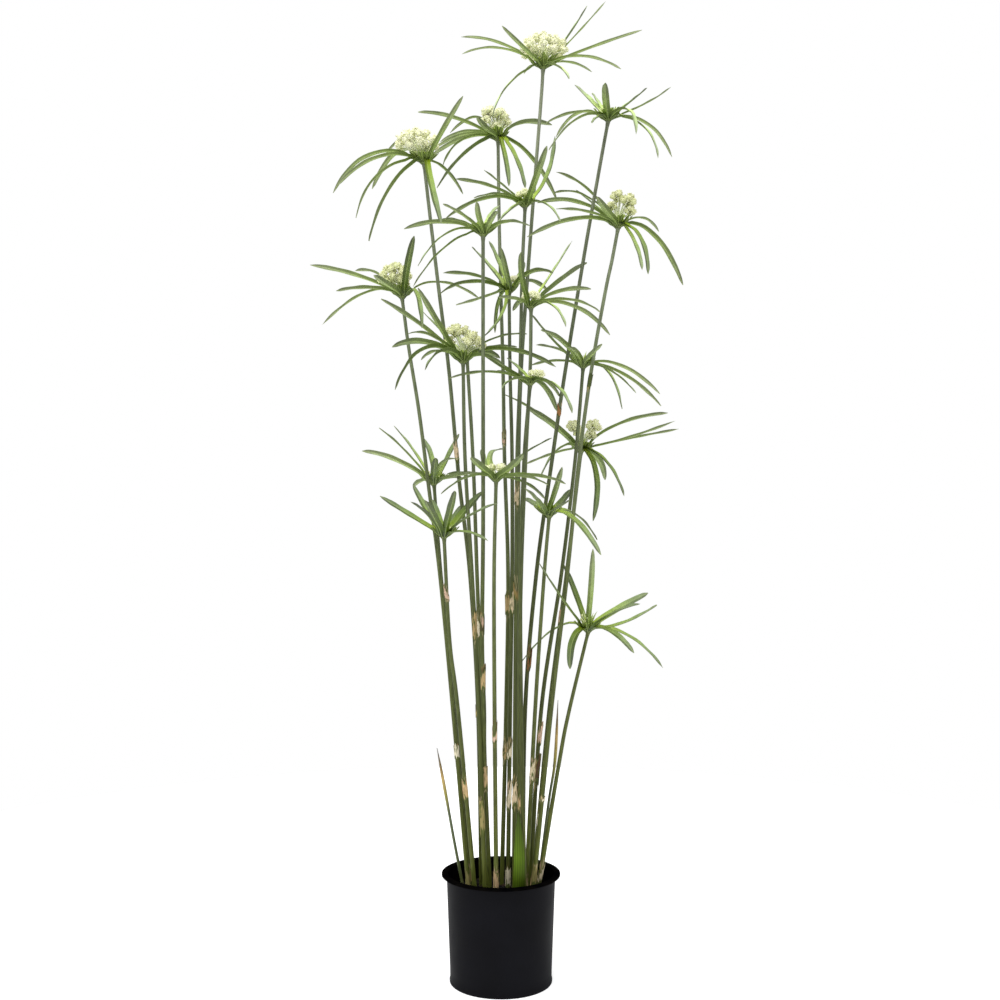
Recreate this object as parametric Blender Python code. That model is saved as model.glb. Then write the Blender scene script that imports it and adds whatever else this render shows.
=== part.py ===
"""A tall potted papyrus: a tuft of thin stems in a plain round pot of soil.

Each stem carries a whorl of long narrow leaves, and most whorls carry a flower head.
Lengths are in metres, +Z is up and the origin is the middle of the pot's underside.
"""

import math
from typing import NamedTuple

import bmesh
import bpy
from mathutils import Quaternion, Vector

# The level view in which the plant was measured by hand. Its pixels are those of a picture
# 1000 pixels wide and high, and a depth is measured back from the pot's axis.
VIEW_DISTANCE = 2.0
EYE_HEIGHT = 0.737
EYE_ACROSS = -0.0015
PIXEL_SIZE = 0.001535            # what one pixel covers at the depth of the pot's axis
PICTURE_MIDDLE = 500

GAP = 0.0003                     # between pieces that touch
CREASE = math.radians(40)        # edges sharper than this stay sharp

# Pot
POT_SIDES = 36
POT_HEIGHT = 0.166
RIM_RADIUS = 0.091
RIM_THICKNESS = 0.0034
LIP_HEIGHT = 0.0055              # from where the side turns out to the top of the rim
BODY_TOP_RADIUS = 0.0833
BODY_BASE_RADIUS = 0.0775
FOOT_RADIUS = 0.0785
FOOT_HEIGHT = 0.005
EDGE = 0.0015                    # the small bevels at the foot and the rim
WALL = 0.0025
FLOOR = 0.003

# Soil
SOIL_TOP = 0.136

# Stems
STEM_SIDES = 6
STEM_FOOT_RADIUS = 0.0034
STEM_TOP_RADIUS = 0.0023

# Leaf whorls
HUB_HEIGHT = 0.009
HUB_BASE_RADIUS = 0.0036
HUB_TOP_RADIUS = 0.0085
EVEN_SPREAD = 0.65               # 0 leaves the bases where the tips point, 1 spaces them evenly
MOST_SHIFT = math.radians(30)    # of a base from where its tip points
BASE_SHARE = 0.4                 # half of a leaf's base, as a share of the gap to its neighbour
LEAF_REACH = 0.140               # from the hub straight to the tip
LEAST_TURN = 0.02                # how far a leaf comes forward or goes back at least
MIDDLE_TURN = 0.55               # share of that which the leaf's middle has made
LEAF_KEEL = 0.22                 # depth of the keel under a leaf, as a share of its width
LEAF_ROLL = math.radians(60)     # what a leaf that points straight sideways has turned at its tip
WIDE = 0.0086
PLAIN = 0.0070
THIN = 0.0050
# Where a leaf's sections stand along it, and how wide it is there
LEAF_SECTIONS = ((0.14, 0.56), (0.34, 0.94), (0.62, 1.0), (0.85, 0.6))

# Flower heads
FLOWER_SIDES = 8
FLOWER_FOOT_RADIUS = 0.0025
# Share of the half width, and the height from the centre as a share of the half height
FLOWER_RINGS = ((0.62, -0.7), (1.0, -0.1), (0.72, 0.6))

NEAR = -1
FAR = 1


class Leaf(NamedTuple):
    middle: tuple                # pixel that the leaf passes half way along
    tip: tuple                   # pixel of its tip
    side: int                    # NEAR the eye or FAR from it
    width: float = PLAIN
    reach: float = LEAF_REACH


class Flower(NamedTuple):
    centre: tuple                # pixel
    width: float
    height: float


class Head(NamedTuple):
    hub: tuple                   # pixel where the whorl stands on its stem
    depth: float
    foot_depth: float
    stem: tuple                  # pixels that the stem passes, from the pot's rim upwards
    leaves: tuple
    flower: Flower = None


HEADS = {
    1: Head(
        hub=(543, 69), depth=0.020, foot_depth=0.024,
        stem=((518, 871), (518, 640), (518.5, 460), (521, 372), (526.5, 290), (534, 190), (541, 100)),
        flower=Flower((543, 45), 0.062, 0.044),
        leaves=(
            Leaf((500, 43), (461, 37), FAR), Leaf((501, 48), (462, 54), NEAR),
            Leaf((523, 47), (502, 26), NEAR, WIDE), Leaf((567, 38), (587, 6), FAR),
            Leaf((577, 34), (606, 1), NEAR, THIN), Leaf((595, 46), (642, 30), FAR),
            Leaf((582, 56), (621, 69), NEAR), Leaf((569, 62), (592, 72), FAR, PLAIN, 0.10),
            Leaf((559, 67), (569, 79), NEAR, PLAIN, 0.09), Leaf((531, 66), (524, 74), FAR, PLAIN, 0.09),
            Leaf((509, 84), (492, 118), NEAR),
        ),
    ),
    2: Head(
        hub=(608, 121), depth=-0.035, foot_depth=0.048,
        stem=((523, 871), (525, 711), (536, 576), (552, 460), (565, 372), (585, 250), (600, 165)),
        leaves=(
            Leaf((590, 101), (575, 85), FAR), Leaf((600, 106), (592, 93), FAR, PLAIN, 0.085),
            Leaf((606, 101), (605, 83), NEAR, WIDE, 0.12), Leaf((628, 104), (647, 88), FAR),
            Leaf((645, 104), (671, 87), FAR, THIN), Leaf((648, 124), (672, 157), FAR),
            Leaf((643, 126), (658, 158), NEAR), Leaf((629, 110), (636, 134), NEAR, PLAIN, 0.11),
            Leaf((598, 117), (592, 123), NEAR, PLAIN, 0.08), Leaf((577, 112), (546, 123), FAR),
            Leaf((578, 113), (556, 137), FAR, PLAIN, 0.10), Leaf((577, 119), (549, 150), NEAR),
        ),
    ),
    3: Head(
        hub=(424, 164), depth=-0.040, foot_depth=0.030,
        stem=((481, 871), (478, 711), (470, 576), (459, 480), (449, 372), (440, 300), (431, 225)),
        flower=Flower((417, 140), 0.059, 0.042),
        leaves=(
            Leaf((371, 154), (333, 193), FAR), Leaf((378, 157), (337, 186), NEAR),
            Leaf((397, 152), (372, 189), FAR, PLAIN, 0.12), Leaf((405, 140), (385, 156), FAR, THIN, 0.15),
            Leaf((379, 174), (356, 218), NEAR), Leaf((391, 187), (369, 241), NEAR, WIDE, 0.15),
            Leaf((443, 130), (463, 96), NEAR), Leaf((446, 170), (463, 194), FAR, THIN),
            Leaf((432, 190), (441, 223), NEAR, WIDE),
        ),
    ),
    4: Head(
        hub=(498, 141), depth=0.080, foot_depth=0.036,
        stem=((502, 871), (506, 711), (508, 576), (504.5, 460), (503, 372), (501, 300), (499, 215)),
        flower=Flower((500, 116), 0.052, 0.034),
        leaves=(
            Leaf((455, 118), (418, 112), FAR), Leaf((478, 117), (450, 133), FAR, THIN, 0.11),
            Leaf((469, 131), (440, 142), FAR), Leaf((466, 134), (432, 150), FAR),
            Leaf((464, 138), (430, 157), FAR, PLAIN, 0.13), Leaf((462, 140), (442, 168), NEAR, THIN, 0.10),
            Leaf((466, 153), (437, 188), NEAR, WIDE, 0.15), Leaf((487, 129), (477, 117), NEAR, WIDE, 0.09),
            Leaf((500, 125), (511, 119), FAR, PLAIN, 0.08), Leaf((522, 123), (552, 125), FAR, WIDE),
            Leaf((531, 157), (557, 200), FAR), Leaf((506, 162), (509, 186), NEAR),
            Leaf((515, 158), (525, 188), NEAR, WIDE, 0.12),
        ),
    ),
    5: Head(
        hub=(618, 228), depth=-0.030, foot_depth=-0.020,
        stem=((535, 871), (551, 711), (567, 576), (579, 460), (591, 372), (605, 293), (612, 260)),
        flower=Flower((622, 204), 0.054, 0.050),
        leaves=(
            Leaf((588, 190), (556, 172), FAR), Leaf((586, 196), (553, 193), FAR, THIN),
            Leaf((598, 208), (576, 190), FAR), Leaf((577, 202), (537, 203), FAR),
            Leaf((588, 212), (556, 209), NEAR, THIN), Leaf((575, 219), (527, 237), NEAR, PLAIN, 0.15),
            Leaf((643, 218), (659, 232), FAR, THIN, 0.11), Leaf((655, 236), (683, 285), FAR),
            Leaf((640, 238), (648, 274), NEAR), Leaf((635, 244), (642, 270), NEAR, PLAIN, 0.11),
            Leaf((608, 212), (597, 197), NEAR, WIDE, 0.09),
        ),
    ),
    6: Head(
        hub=(483, 236), depth=-0.125, foot_depth=-0.022,
        stem=((489, 871), (484.5, 760), (484, 711), (482, 640), (483, 531), (483, 372)),
        leaves=(
            Leaf((443, 222), (404, 229), FAR), Leaf((461, 222), (441, 220), FAR, PLAIN, 0.11),
            Leaf((464, 216), (443, 204), NEAR, THIN), Leaf((479, 218), (477, 202), NEAR, PLAIN, 0.10),
            Leaf((490, 217), (500, 205), FAR), Leaf((490, 222), (497, 211), NEAR, PLAIN, 0.10),
            Leaf((507, 222), (530, 226), NEAR), Leaf((447, 233), (418, 266), NEAR, THIN),
            Leaf((445, 247), (413, 287), NEAR, THIN),
        ),
    ),
    7: Head(
        hub=(525, 207), depth=-0.010, foot_depth=-0.012,
        stem=((514, 871), (515, 711), (516, 576), (517, 460), (520, 372), (522, 275)),
        flower=Flower((525, 193), 0.028, 0.020),
        leaves=(
            Leaf((506, 188), (484, 170), FAR, PLAIN, 0.115), Leaf((492, 187), (455, 179), FAR),
            Leaf((501, 194), (474, 198), NEAR, THIN), Leaf((487, 198), (445, 219), NEAR),
            Leaf((548, 176), (555, 136), FAR), Leaf((536, 178), (547, 146), NEAR, WIDE),
            Leaf((513, 208), (499, 221), NEAR, PLAIN, 0.09), Leaf((546, 204), (560, 221), NEAR, THIN, 0.11),
        ),
    ),
    8: Head(
        hub=(402, 298), depth=0.010, foot_depth=-0.020,
        stem=((467, 871), (453, 711), (440, 576), (429, 490), (419, 412), (409, 350)),
        flower=Flower((395, 273), 0.056, 0.042),
        leaves=(
            Leaf((358, 276), (310, 265), FAR), Leaf((378, 274), (355, 271), FAR, PLAIN, 0.13),
            Leaf((370, 288), (336, 291), NEAR), Leaf((365, 293), (322, 325), NEAR),
            Leaf((407, 268), (414, 236), NEAR, WIDE), Leaf((388, 285), (374, 275), NEAR, WIDE, 0.10),
            Leaf((416, 293), (422, 328), NEAR, PLAIN, 0.11), Leaf((440, 282), (480, 299), FAR, THIN),
        ),
    ),
    9: Head(
        hub=(509, 293), depth=0.020, foot_depth=0.008,
        stem=((508, 871), (510, 711), (512, 576), (512, 460), (510, 372)),
        flower=Flower((514, 278), 0.020, 0.016),
        leaves=(
            Leaf((490, 268), (472, 247), FAR, WIDE), Leaf((500, 267), (489, 241), FAR, PLAIN, 0.105),
            Leaf((506, 271), (501, 248), NEAR, PLAIN), Leaf((476, 276), (443, 273), FAR),
            Leaf((470, 282), (440, 294), NEAR), Leaf((482, 298), (456, 305), FAR, THIN),
            Leaf((503, 314), (483, 337), NEAR, PLAIN, 0.10), Leaf((499, 300), (495, 333), FAR, THIN, 0.09),
            Leaf((530, 281), (548, 291), FAR, PLAIN, 0.11), Leaf((520, 277), (524, 262), FAR, WIDE, 0.12),
            Leaf((531, 272), (553, 273), NEAR, PLAIN, 0.10),
        ),
    ),
    10: Head(
        hub=(531, 308), depth=-0.070, foot_depth=-0.034,
        stem=((521, 871), (519, 711), (521, 576), (525.5, 460), (530, 372)),
        flower=Flower((531, 295), 0.024, 0.020),
        leaves=(
            Leaf((561, 281), (587, 263), FAR, WIDE), Leaf((562, 291), (591, 289), FAR, PLAIN, 0.10),
            Leaf((551, 275), (572, 241), FAR, THIN, 0.155), Leaf((570, 300), (600, 312), NEAR),
            Leaf((576, 307), (610, 335), FAR), Leaf((552, 305), (566, 327), NEAR, THIN, 0.11),
            Leaf((520, 302), (513, 311), FAR, PLAIN, 0.08), Leaf((514, 299), (497, 297), NEAR, PLAIN, 0.11),
            Leaf((522, 277), (521, 252), NEAR, PLAIN, 0.12),
        ),
    ),
    11: Head(
        hub=(463, 363), depth=-0.060, foot_depth=-0.040,
        stem=((484, 871), (479, 711), (472, 576), (465, 460)),
        flower=Flower((466, 338), 0.058, 0.042),
        leaves=(
            Leaf((424, 328), (381, 299), FAR), Leaf((425, 342), (392, 347), FAR, WIDE, 0.122),
            Leaf((424, 349), (395, 390), NEAR, WIDE), Leaf((442, 351), (425, 370), NEAR, WIDE, 0.11),
            Leaf((438, 351), (421, 360), FAR, THIN, 0.085), Leaf((438, 324), (418, 288), NEAR),
            Leaf((482, 352), (500, 358), FAR, WIDE, 0.085), Leaf((432, 336), (408, 334), NEAR, THIN),
            Leaf((485, 356), (505, 367), NEAR, PLAIN, 0.08),
        ),
    ),
    12: Head(
        hub=(583, 368), depth=0.020, foot_depth=0.026,
        stem=((531, 871), (541, 711), (561, 576), (575, 460)),
        leaves=(
            Leaf((622, 366), (660, 394), FAR), Leaf((624, 375), (661, 406), NEAR),
            Leaf((611, 371), (636, 393), NEAR), Leaf((608, 372), (622, 409), NEAR, PLAIN, 0.11),
            Leaf((557, 345), (531, 314), FAR, WIDE), Leaf((563, 342), (541, 330), NEAR),
            Leaf((562, 351), (536, 345), FAR), Leaf((577, 353), (568, 347), NEAR, PLAIN, 0.08),
            Leaf((592, 354), (602, 344), NEAR), Leaf((556, 361), (529, 366), NEAR, THIN, 0.092),
        ),
    ),
    13: Head(
        hub=(530, 385), depth=-0.110, foot_depth=-0.052,
        stem=((524, 871), (521, 711), (520.5, 576), (524, 460)),
        flower=Flower((537, 373), 0.024, 0.016),
        leaves=(
            Leaf((504, 369), (478, 351), FAR, WIDE, 0.115), Leaf((513, 376), (497, 371), FAR, WIDE, 0.10),
            Leaf((490, 372), (450, 378), FAR, THIN), Leaf((514, 379), (502, 388), NEAR, PLAIN, 0.09),
            Leaf((519, 369), (507, 358), FAR, PLAIN, 0.11), Leaf((547, 390), (557, 411), FAR, PLAIN, 0.095),
            Leaf((556, 386), (572, 413), NEAR, WIDE), Leaf((548, 383), (560, 397), FAR, THIN, 0.12),
        ),
    ),
    14: Head(
        hub=(581, 452), depth=0.090, foot_depth=0.002,
        stem=((534, 871), (549, 711), (566, 576)),
        flower=Flower((584, 427), 0.062, 0.044),
        leaves=(
            Leaf((556, 427), (526, 407), NEAR, WIDE), Leaf((545, 418), (503, 394), FAR, THIN),
            Leaf((560, 448), (541, 476), NEAR, PLAIN, 0.12), Leaf((556, 453), (526, 464), FAR, THIN),
            Leaf((620, 424), (668, 413), FAR, PLAIN, 0.165), Leaf((628, 438), (675, 421), NEAR, THIN),
            Leaf((634, 438), (679, 429), FAR, THIN), Leaf((606, 462), (624, 496), NEAR),
            Leaf((599, 460), (605, 480), FAR, WIDE, 0.11), Leaf((596, 474), (593, 521), NEAR, WIDE),
        ),
    ),
    15: Head(
        hub=(434, 485), depth=0.020, foot_depth=0.014,
        stem=((469, 871), (454, 711), (441, 576)),
        leaves=(
            Leaf((396, 460), (362, 451), NEAR, WIDE), Leaf((406, 452), (379, 428), FAR),
            Leaf((414, 452), (394, 426), FAR), Leaf((431, 457), (423, 438), FAR),
            Leaf((434, 471), (436, 458), NEAR, WIDE, 0.09), Leaf((447, 460), (459, 434), FAR),
            Leaf((421, 481), (413, 487), FAR, PLAIN, 0.08), Leaf((455, 476), (478, 473), NEAR),
            Leaf((450, 478), (462, 478), FAR, PLAIN, 0.10), Leaf((442, 463), (460, 459), NEAR, THIN),
        ),
    ),
    16: Head(
        hub=(496, 481), depth=-0.100, foot_depth=-0.048,
        stem=((496, 871), (494.5, 711), (494, 576)),
        flower=Flower((498, 467), 0.036, 0.020),
        leaves=(
            Leaf((521, 456), (552, 438), FAR, THIN), Leaf((510, 468), (523, 455), NEAR, WIDE, 0.12),
            Leaf((535, 476), (566, 484), NEAR), Leaf((526, 477), (548, 485), NEAR),
            Leaf((525, 483), (545, 499), FAR, THIN, 0.155), Leaf((482, 468), (471, 457), NEAR, WIDE, 0.10),
            Leaf((485, 465), (482, 449), FAR, WIDE, 0.09), Leaf((490, 456), (504, 449), FAR, PLAIN, 0.11),
            Leaf((468, 477), (441, 494), NEAR), Leaf((470, 474), (447, 474), FAR, PLAIN, 0.12),
        ),
    ),
    17: Head(
        hub=(444, 538), depth=-0.090, foot_depth=-0.034,
        stem=((473, 871), (458, 711), (449.5, 640)),
        leaves=(
            Leaf((413, 517), (380, 496), FAR), Leaf((428, 516), (411, 502), NEAR),
            Leaf((426, 509), (413, 485), FAR), Leaf((434, 517), (425, 500), NEAR, WIDE),
            Leaf((438, 517), (432, 500), FAR, WIDE, 0.095), Leaf((450, 512), (455, 491), NEAR, WIDE),
            Leaf((452, 521), (462, 505), FAR), Leaf((463, 513), (482, 492), FAR, WIDE, 0.115),
            Leaf((468, 517), (498, 503), NEAR), Leaf((466, 532), (488, 541), NEAR, THIN),
        ),
    ),
    18: Head(
        hub=(549, 517), depth=-0.050, foot_depth=0.000,
        stem=((527, 871), (535, 711), (544, 576)),
        leaves=(
            Leaf((537, 501), (525, 488), NEAR, WIDE), Leaf((537, 506), (524, 498), FAR, WIDE, 0.11),
            Leaf((556, 490), (562, 467), NEAR), Leaf((560, 504), (571, 489), FAR, WIDE),
            Leaf((560, 507), (570, 500), NEAR, PLAIN, 0.11), Leaf((575, 520), (601, 555), NEAR),
            Leaf((575, 514), (597, 540), FAR),
        ),
    ),
    19: Head(
        hub=(588, 632), depth=-0.010, foot_depth=-0.004,
        stem=((541, 871), (559.5, 760), (569, 711)),
        leaves=(
            Leaf((591, 590), (593, 549), NEAR, WIDE, 0.155), Leaf((577, 598), (564, 565), FAR),
            Leaf((562, 599), (539, 563), NEAR), Leaf((618, 609), (648, 593), FAR, WIDE),
            Leaf((614, 613), (640, 604), NEAR), Leaf((622, 624), (657, 605), NEAR),
            Leaf((628, 636), (663, 668), FAR), Leaf((612, 632), (634, 653), NEAR, PLAIN, 0.11),
            Leaf((573, 640), (570, 669), NEAR, WIDE, 0.11), Leaf((556, 628), (520, 664), FAR, THIN),
        ),
    ),
    20: Head(
        hub=(467, 358), depth=-0.015, foot_depth=0.004,
        stem=((488, 871), (482, 711), (477, 576), (473, 460)),
        leaves=(
            Leaf((491, 347), (517, 347), FAR, THIN, 0.10), Leaf((495, 338), (527, 334), FAR, THIN),
            Leaf((512, 350), (556, 367), NEAR, PLAIN, 0.1435), Leaf((443, 333), (423, 312), FAR, THIN),
            Leaf((458, 340), (449, 326), FAR, PLAIN, 0.10),
        ),
    ),
}

# Young shoots with no head, and the broad blade at the foot of the tuft: pixels from the rim up to
# the tip, with a depth for the foot and one for the tip.
SHOOTS = {
    "shoot_left": {"path": ((460, 871), (454, 840), (445, 790), (437, 748)), "depths": (-0.008, -0.030)},
    "shoot_right": {"path": ((540, 871), (549, 800), (555, 760), (558, 700)), "depths": (0.018, 0.050)},
}
SHOOT_RADIUS = 0.0032
SHOOT_TAPER = 0.12               # what it loses of that at each point it passes
BLADE_PATH = ((519, 880), (519.5, 862), (519, 838), (518.5, 812))
BLADE_DEPTHS = (-0.058, -0.064)
BLADE_WIDTHS = (0.0175, 0.0185, 0.0120)
BLADE_THICKNESS = 0.0032

COLOURS = {
    "pot": ("1b1b1f", 0.42),
    "soil": ("17120e", 0.95),
    "stem": ("3d5128", 0.50),
    "leaf": ("5f8a2c", 0.48),
    "flower": ("cfcf96", 0.75),
    "shoot": ("55692b", 0.50),
    "blade": ("5a8a10", 0.45),
}


def linear(channel):
    """One sRGB channel, 0 to 1, as the linear value that a shader takes."""
    if channel <= 0.04045:
        return channel / 12.92
    return ((channel + 0.055) / 1.055) ** 2.4


def make_material(name):
    """The part's own plain material, with its colour and roughness."""
    colour, roughness = COLOURS[name]
    channels = [int(colour[start:start + 2], 16) / 255 for start in (0, 2, 4)]
    material = bpy.data.materials.new(name)
    material.use_nodes = True
    shader = material.node_tree.nodes["Principled BSDF"]
    shader.inputs["Base Color"].default_value = [linear(value) for value in channels] + [1.0]
    shader.inputs["Roughness"].default_value = roughness
    shader.inputs["Metallic"].default_value = 0.0
    return material


def add_object(name, mesh, material):
    """Turn a finished bmesh into a named object with its material."""
    data = bpy.data.meshes.new(name)
    mesh.to_mesh(data)
    mesh.free()
    data.materials.append(material)
    data.shade_smooth()
    data.set_sharp_from_angle(angle=CREASE)
    piece = bpy.data.objects.new(name, data)
    bpy.context.scene.collection.objects.link(piece)
    return piece


def seen(pixel, depth):
    """The point at a depth behind the pot's axis that shows at a pixel of the view."""
    across, down = pixel
    spread = PIXEL_SIZE * (VIEW_DISTANCE + depth) / VIEW_DISTANCE
    return Vector((
        EYE_ACROSS + (across - PICTURE_MIDDLE) * spread,
        depth,
        EYE_HEIGHT + (PICTURE_MIDDLE - down) * spread,
    ))


def add_ring(mesh, centre, across, along, sides):
    """A level ring of vertices, counter-clockwise from above, with its two half widths."""
    ring = []
    for index in range(sides):
        angle = 2 * math.pi * index / sides
        offset = Vector((across * math.cos(angle), along * math.sin(angle), 0))
        ring.append(mesh.verts.new(centre + offset))
    return ring


def join_rings(mesh, lower, upper):
    """The band of faces between two rings, facing away from their middle as they rise."""
    for index in range(len(lower)):
        after = (index + 1) % len(lower)
        mesh.faces.new((lower[index], lower[after], upper[after], upper[index]))


def close_to_point(mesh, ring, point):
    """The fan of faces from a ring up to a point."""
    tip = mesh.verts.new(point)
    for index in range(len(ring)):
        mesh.faces.new((ring[index], ring[(index + 1) % len(ring)], tip))


def wall_radius(height):
    """The pot's inner radius at a height between its floor and its lip."""
    lip = POT_HEIGHT - LIP_HEIGHT
    share = (height - FOOT_HEIGHT) / (lip - FOOT_HEIGHT)
    return BODY_BASE_RADIUS + (BODY_TOP_RADIUS - BODY_BASE_RADIUS) * share - WALL


def make_pot():
    """One turned wall from the middle of the underside, over the out-turned rim and down to the floor."""
    lip = POT_HEIGHT - LIP_HEIGHT
    rim_underside = POT_HEIGHT - RIM_THICKNESS
    profile = (
        (FOOT_RADIUS - EDGE, 0.0),
        (FOOT_RADIUS, EDGE),
        (FOOT_RADIUS, FOOT_HEIGHT),
        (BODY_BASE_RADIUS, FOOT_HEIGHT + EDGE),
        (BODY_TOP_RADIUS, lip),
        (BODY_TOP_RADIUS + EDGE, rim_underside),
        (RIM_RADIUS - EDGE / 2, rim_underside),
        (RIM_RADIUS, rim_underside + EDGE / 2),
        (RIM_RADIUS, POT_HEIGHT - EDGE / 2),
        (RIM_RADIUS - EDGE / 2, POT_HEIGHT),
        (BODY_TOP_RADIUS - EDGE / 2, POT_HEIGHT),
        (wall_radius(lip), POT_HEIGHT - EDGE),
        (wall_radius(lip), lip),
        (wall_radius(FLOOR), FLOOR),
    )
    mesh = bmesh.new()
    rings = []
    for radius, height in profile:
        rings.append(add_ring(mesh, Vector((0, 0, height)), radius, radius, POT_SIDES))
    for lower, upper in zip(rings, rings[1:]):
        join_rings(mesh, lower, upper)
    mesh.faces.new(rings[-1])
    mesh.faces.new(tuple(reversed(rings[0])))
    return add_object("pot", mesh, make_material("pot"))


def make_soil():
    """The plug of soil, clear of the wall and the floor by the gap."""
    mesh = bmesh.new()
    bottom = FLOOR + GAP
    low_radius = wall_radius(bottom) - 2 * GAP
    low = add_ring(mesh, Vector((0, 0, bottom)), low_radius, low_radius, POT_SIDES)
    top_radius = wall_radius(SOIL_TOP) - 2 * GAP
    top = add_ring(mesh, Vector((0, 0, SOIL_TOP)), top_radius, top_radius, POT_SIDES)
    join_rings(mesh, low, top)
    mesh.faces.new(top)
    mesh.faces.new(tuple(reversed(low)))
    return add_object("soil", mesh, make_material("soil"))


def rise(pixels, low_depth, high_depth):
    """Points along pixels from the rim upwards, started from the top of the soil."""
    low_row = pixels[0][1]
    high_row = pixels[-1][1]
    points = []
    for pixel in pixels:
        share = (low_row - pixel[1]) / (low_row - high_row)
        points.append(seen(pixel, low_depth + (high_depth - low_depth) * share))
    first, second = points[0], points[1]
    share = (first.z - SOIL_TOP - GAP) / (second.z - first.z)
    foot = first + (first - second) * share
    return [foot] + points


def make_stem(name, head, material):
    """One stem, from the soil to just under its whorl, thinner towards the top."""
    points = rise(head.stem + (head.hub,), head.foot_depth, head.depth)
    points[-1].z -= GAP
    mesh = bmesh.new()
    rings = []
    for point in points:
        share = (point.z - points[0].z) / (points[-1].z - points[0].z)
        radius = STEM_FOOT_RADIUS + (STEM_TOP_RADIUS - STEM_FOOT_RADIUS) * share
        rings.append(add_ring(mesh, point, radius, radius, STEM_SIDES))
    for lower, upper in zip(rings, rings[1:]):
        join_rings(mesh, lower, upper)
    mesh.faces.new(rings[-1])
    mesh.faces.new(tuple(reversed(rings[0])))
    return add_object(name, mesh, material)


def leaf_tip(hub, depth, leaf):
    """The leaf's tip, as far forward or back as its reach allows."""
    flat = (seen(leaf.tip, depth) - hub).length
    turn = math.sqrt(max(leaf.reach ** 2 - flat ** 2, LEAST_TURN ** 2))
    return seen(leaf.tip, depth + leaf.side * turn), leaf.side * turn


def base_angles(angles):
    """Where leaves whose tips lie at these rising angles start from, spread around the hub."""
    step = 2 * math.pi / len(angles)
    start = sum(angle - index * step for index, angle in enumerate(angles)) / len(angles)
    spread = []
    for index, angle in enumerate(angles):
        shift = (start + index * step - angle) * EVEN_SPREAD
        spread.append(angle + max(-MOST_SHIFT, min(MOST_SHIFT, shift)))
    return spread


def around(hub, angle, radius, height):
    return hub + Vector((radius * math.cos(angle), radius * math.sin(angle), height))


def leaf_sections(start, middle, tip, width):
    """The corners of a leaf's sections, keel first, along the curve through its middle."""
    control = 2 * middle - (start + tip) / 2
    run = tip - start
    left = Vector((-run.y, run.x, 0)).normalized()
    roll = LEAF_ROLL * run.x / run.length
    if start.z > EYE_HEIGHT:
        roll = -roll
    sections = []
    for share, fullness in LEAF_SECTIONS:
        rest = 1 - share
        place = rest * rest * start + 2 * rest * share * control + share * share * tip
        heading = (rest * (control - start) + share * (tip - control)).normalized()
        side = (left - left.dot(heading) * heading).normalized()
        side.rotate(Quaternion(heading, roll * share))
        up = heading.cross(side)
        half = side * width * fullness / 2
        keel = up * width * fullness * LEAF_KEEL
        sections.append((place - keel, place + half, place - half))
    return sections


def make_whorl(name, head, material):
    """One whorl: a small flared hub with every leaf drawn out of a face on its side."""
    hub = seen(head.hub, head.depth)
    leaves = []
    for leaf in head.leaves:
        tip, turn = leaf_tip(hub, head.depth, leaf)
        middle = seen(leaf.middle, head.depth + MIDDLE_TURN * turn)
        leaves.append((math.atan2(tip.y - hub.y, tip.x - hub.x), tip, middle, leaf.width))
    leaves.sort(key=lambda entry: entry[0])
    angles = base_angles([entry[0] for entry in leaves])
    count = len(leaves)
    gaps = [(angles[(index + 1) % count] - angles[index]) % (2 * math.pi) for index in range(count)]

    mesh = bmesh.new()
    corners = []
    for index, angle in enumerate(angles):
        half = BASE_SHARE * min(gaps[index], gaps[index - 1])
        corners.append([
            mesh.verts.new(around(hub, angle, HUB_BASE_RADIUS, 0)),
            mesh.verts.new(around(hub, angle + half, HUB_TOP_RADIUS, HUB_HEIGHT)),
            mesh.verts.new(around(hub, angle - half, HUB_TOP_RADIUS, HUB_HEIGHT)),
        ])
    top = []
    for index in range(count):
        keel, left, right = corners[index]
        next_keel, _, next_right = corners[(index + 1) % count]
        mesh.faces.new((keel, next_keel, next_right, left))
        top.extend((right, left))
    mesh.faces.new(top)
    mesh.faces.new([keel for keel, _, _ in reversed(corners)])

    for (_, tip, middle, width), base in zip(leaves, corners):
        face = mesh.faces.new(base)
        start = face.calc_center_median()
        for section in leaf_sections(start, middle, tip, width):
            face = bmesh.ops.extrude_discrete_faces(mesh, faces=[face])["faces"][0]
            for corner, place in zip(face.verts, section):
                corner.co = place
        point = bmesh.ops.poke(mesh, faces=[face])["verts"][0]
        point.co = tip
    return add_object(name, mesh, material)


def make_flower(name, head, material):
    """One flower head: a narrow foot on the hub that opens into a low dome."""
    foot = seen(head.hub, head.depth) + Vector((0, 0, HUB_HEIGHT + GAP))
    centre = seen(head.flower.centre, head.depth)
    radius = head.flower.width / 2
    rise_half = head.flower.height / 2
    mesh = bmesh.new()
    rings = [add_ring(mesh, foot, FLOWER_FOOT_RADIUS, FLOWER_FOOT_RADIUS, FLOWER_SIDES)]
    for fullness, height in FLOWER_RINGS:
        place = centre + Vector((0, 0, height * rise_half))
        rings.append(add_ring(mesh, place, radius * fullness, radius * fullness, FLOWER_SIDES))
    for lower, upper in zip(rings, rings[1:]):
        join_rings(mesh, lower, upper)
    close_to_point(mesh, rings[-1], centre + Vector((0, 0, rise_half)))
    mesh.faces.new(tuple(reversed(rings[0])))
    return add_object(name, mesh, material)


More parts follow.
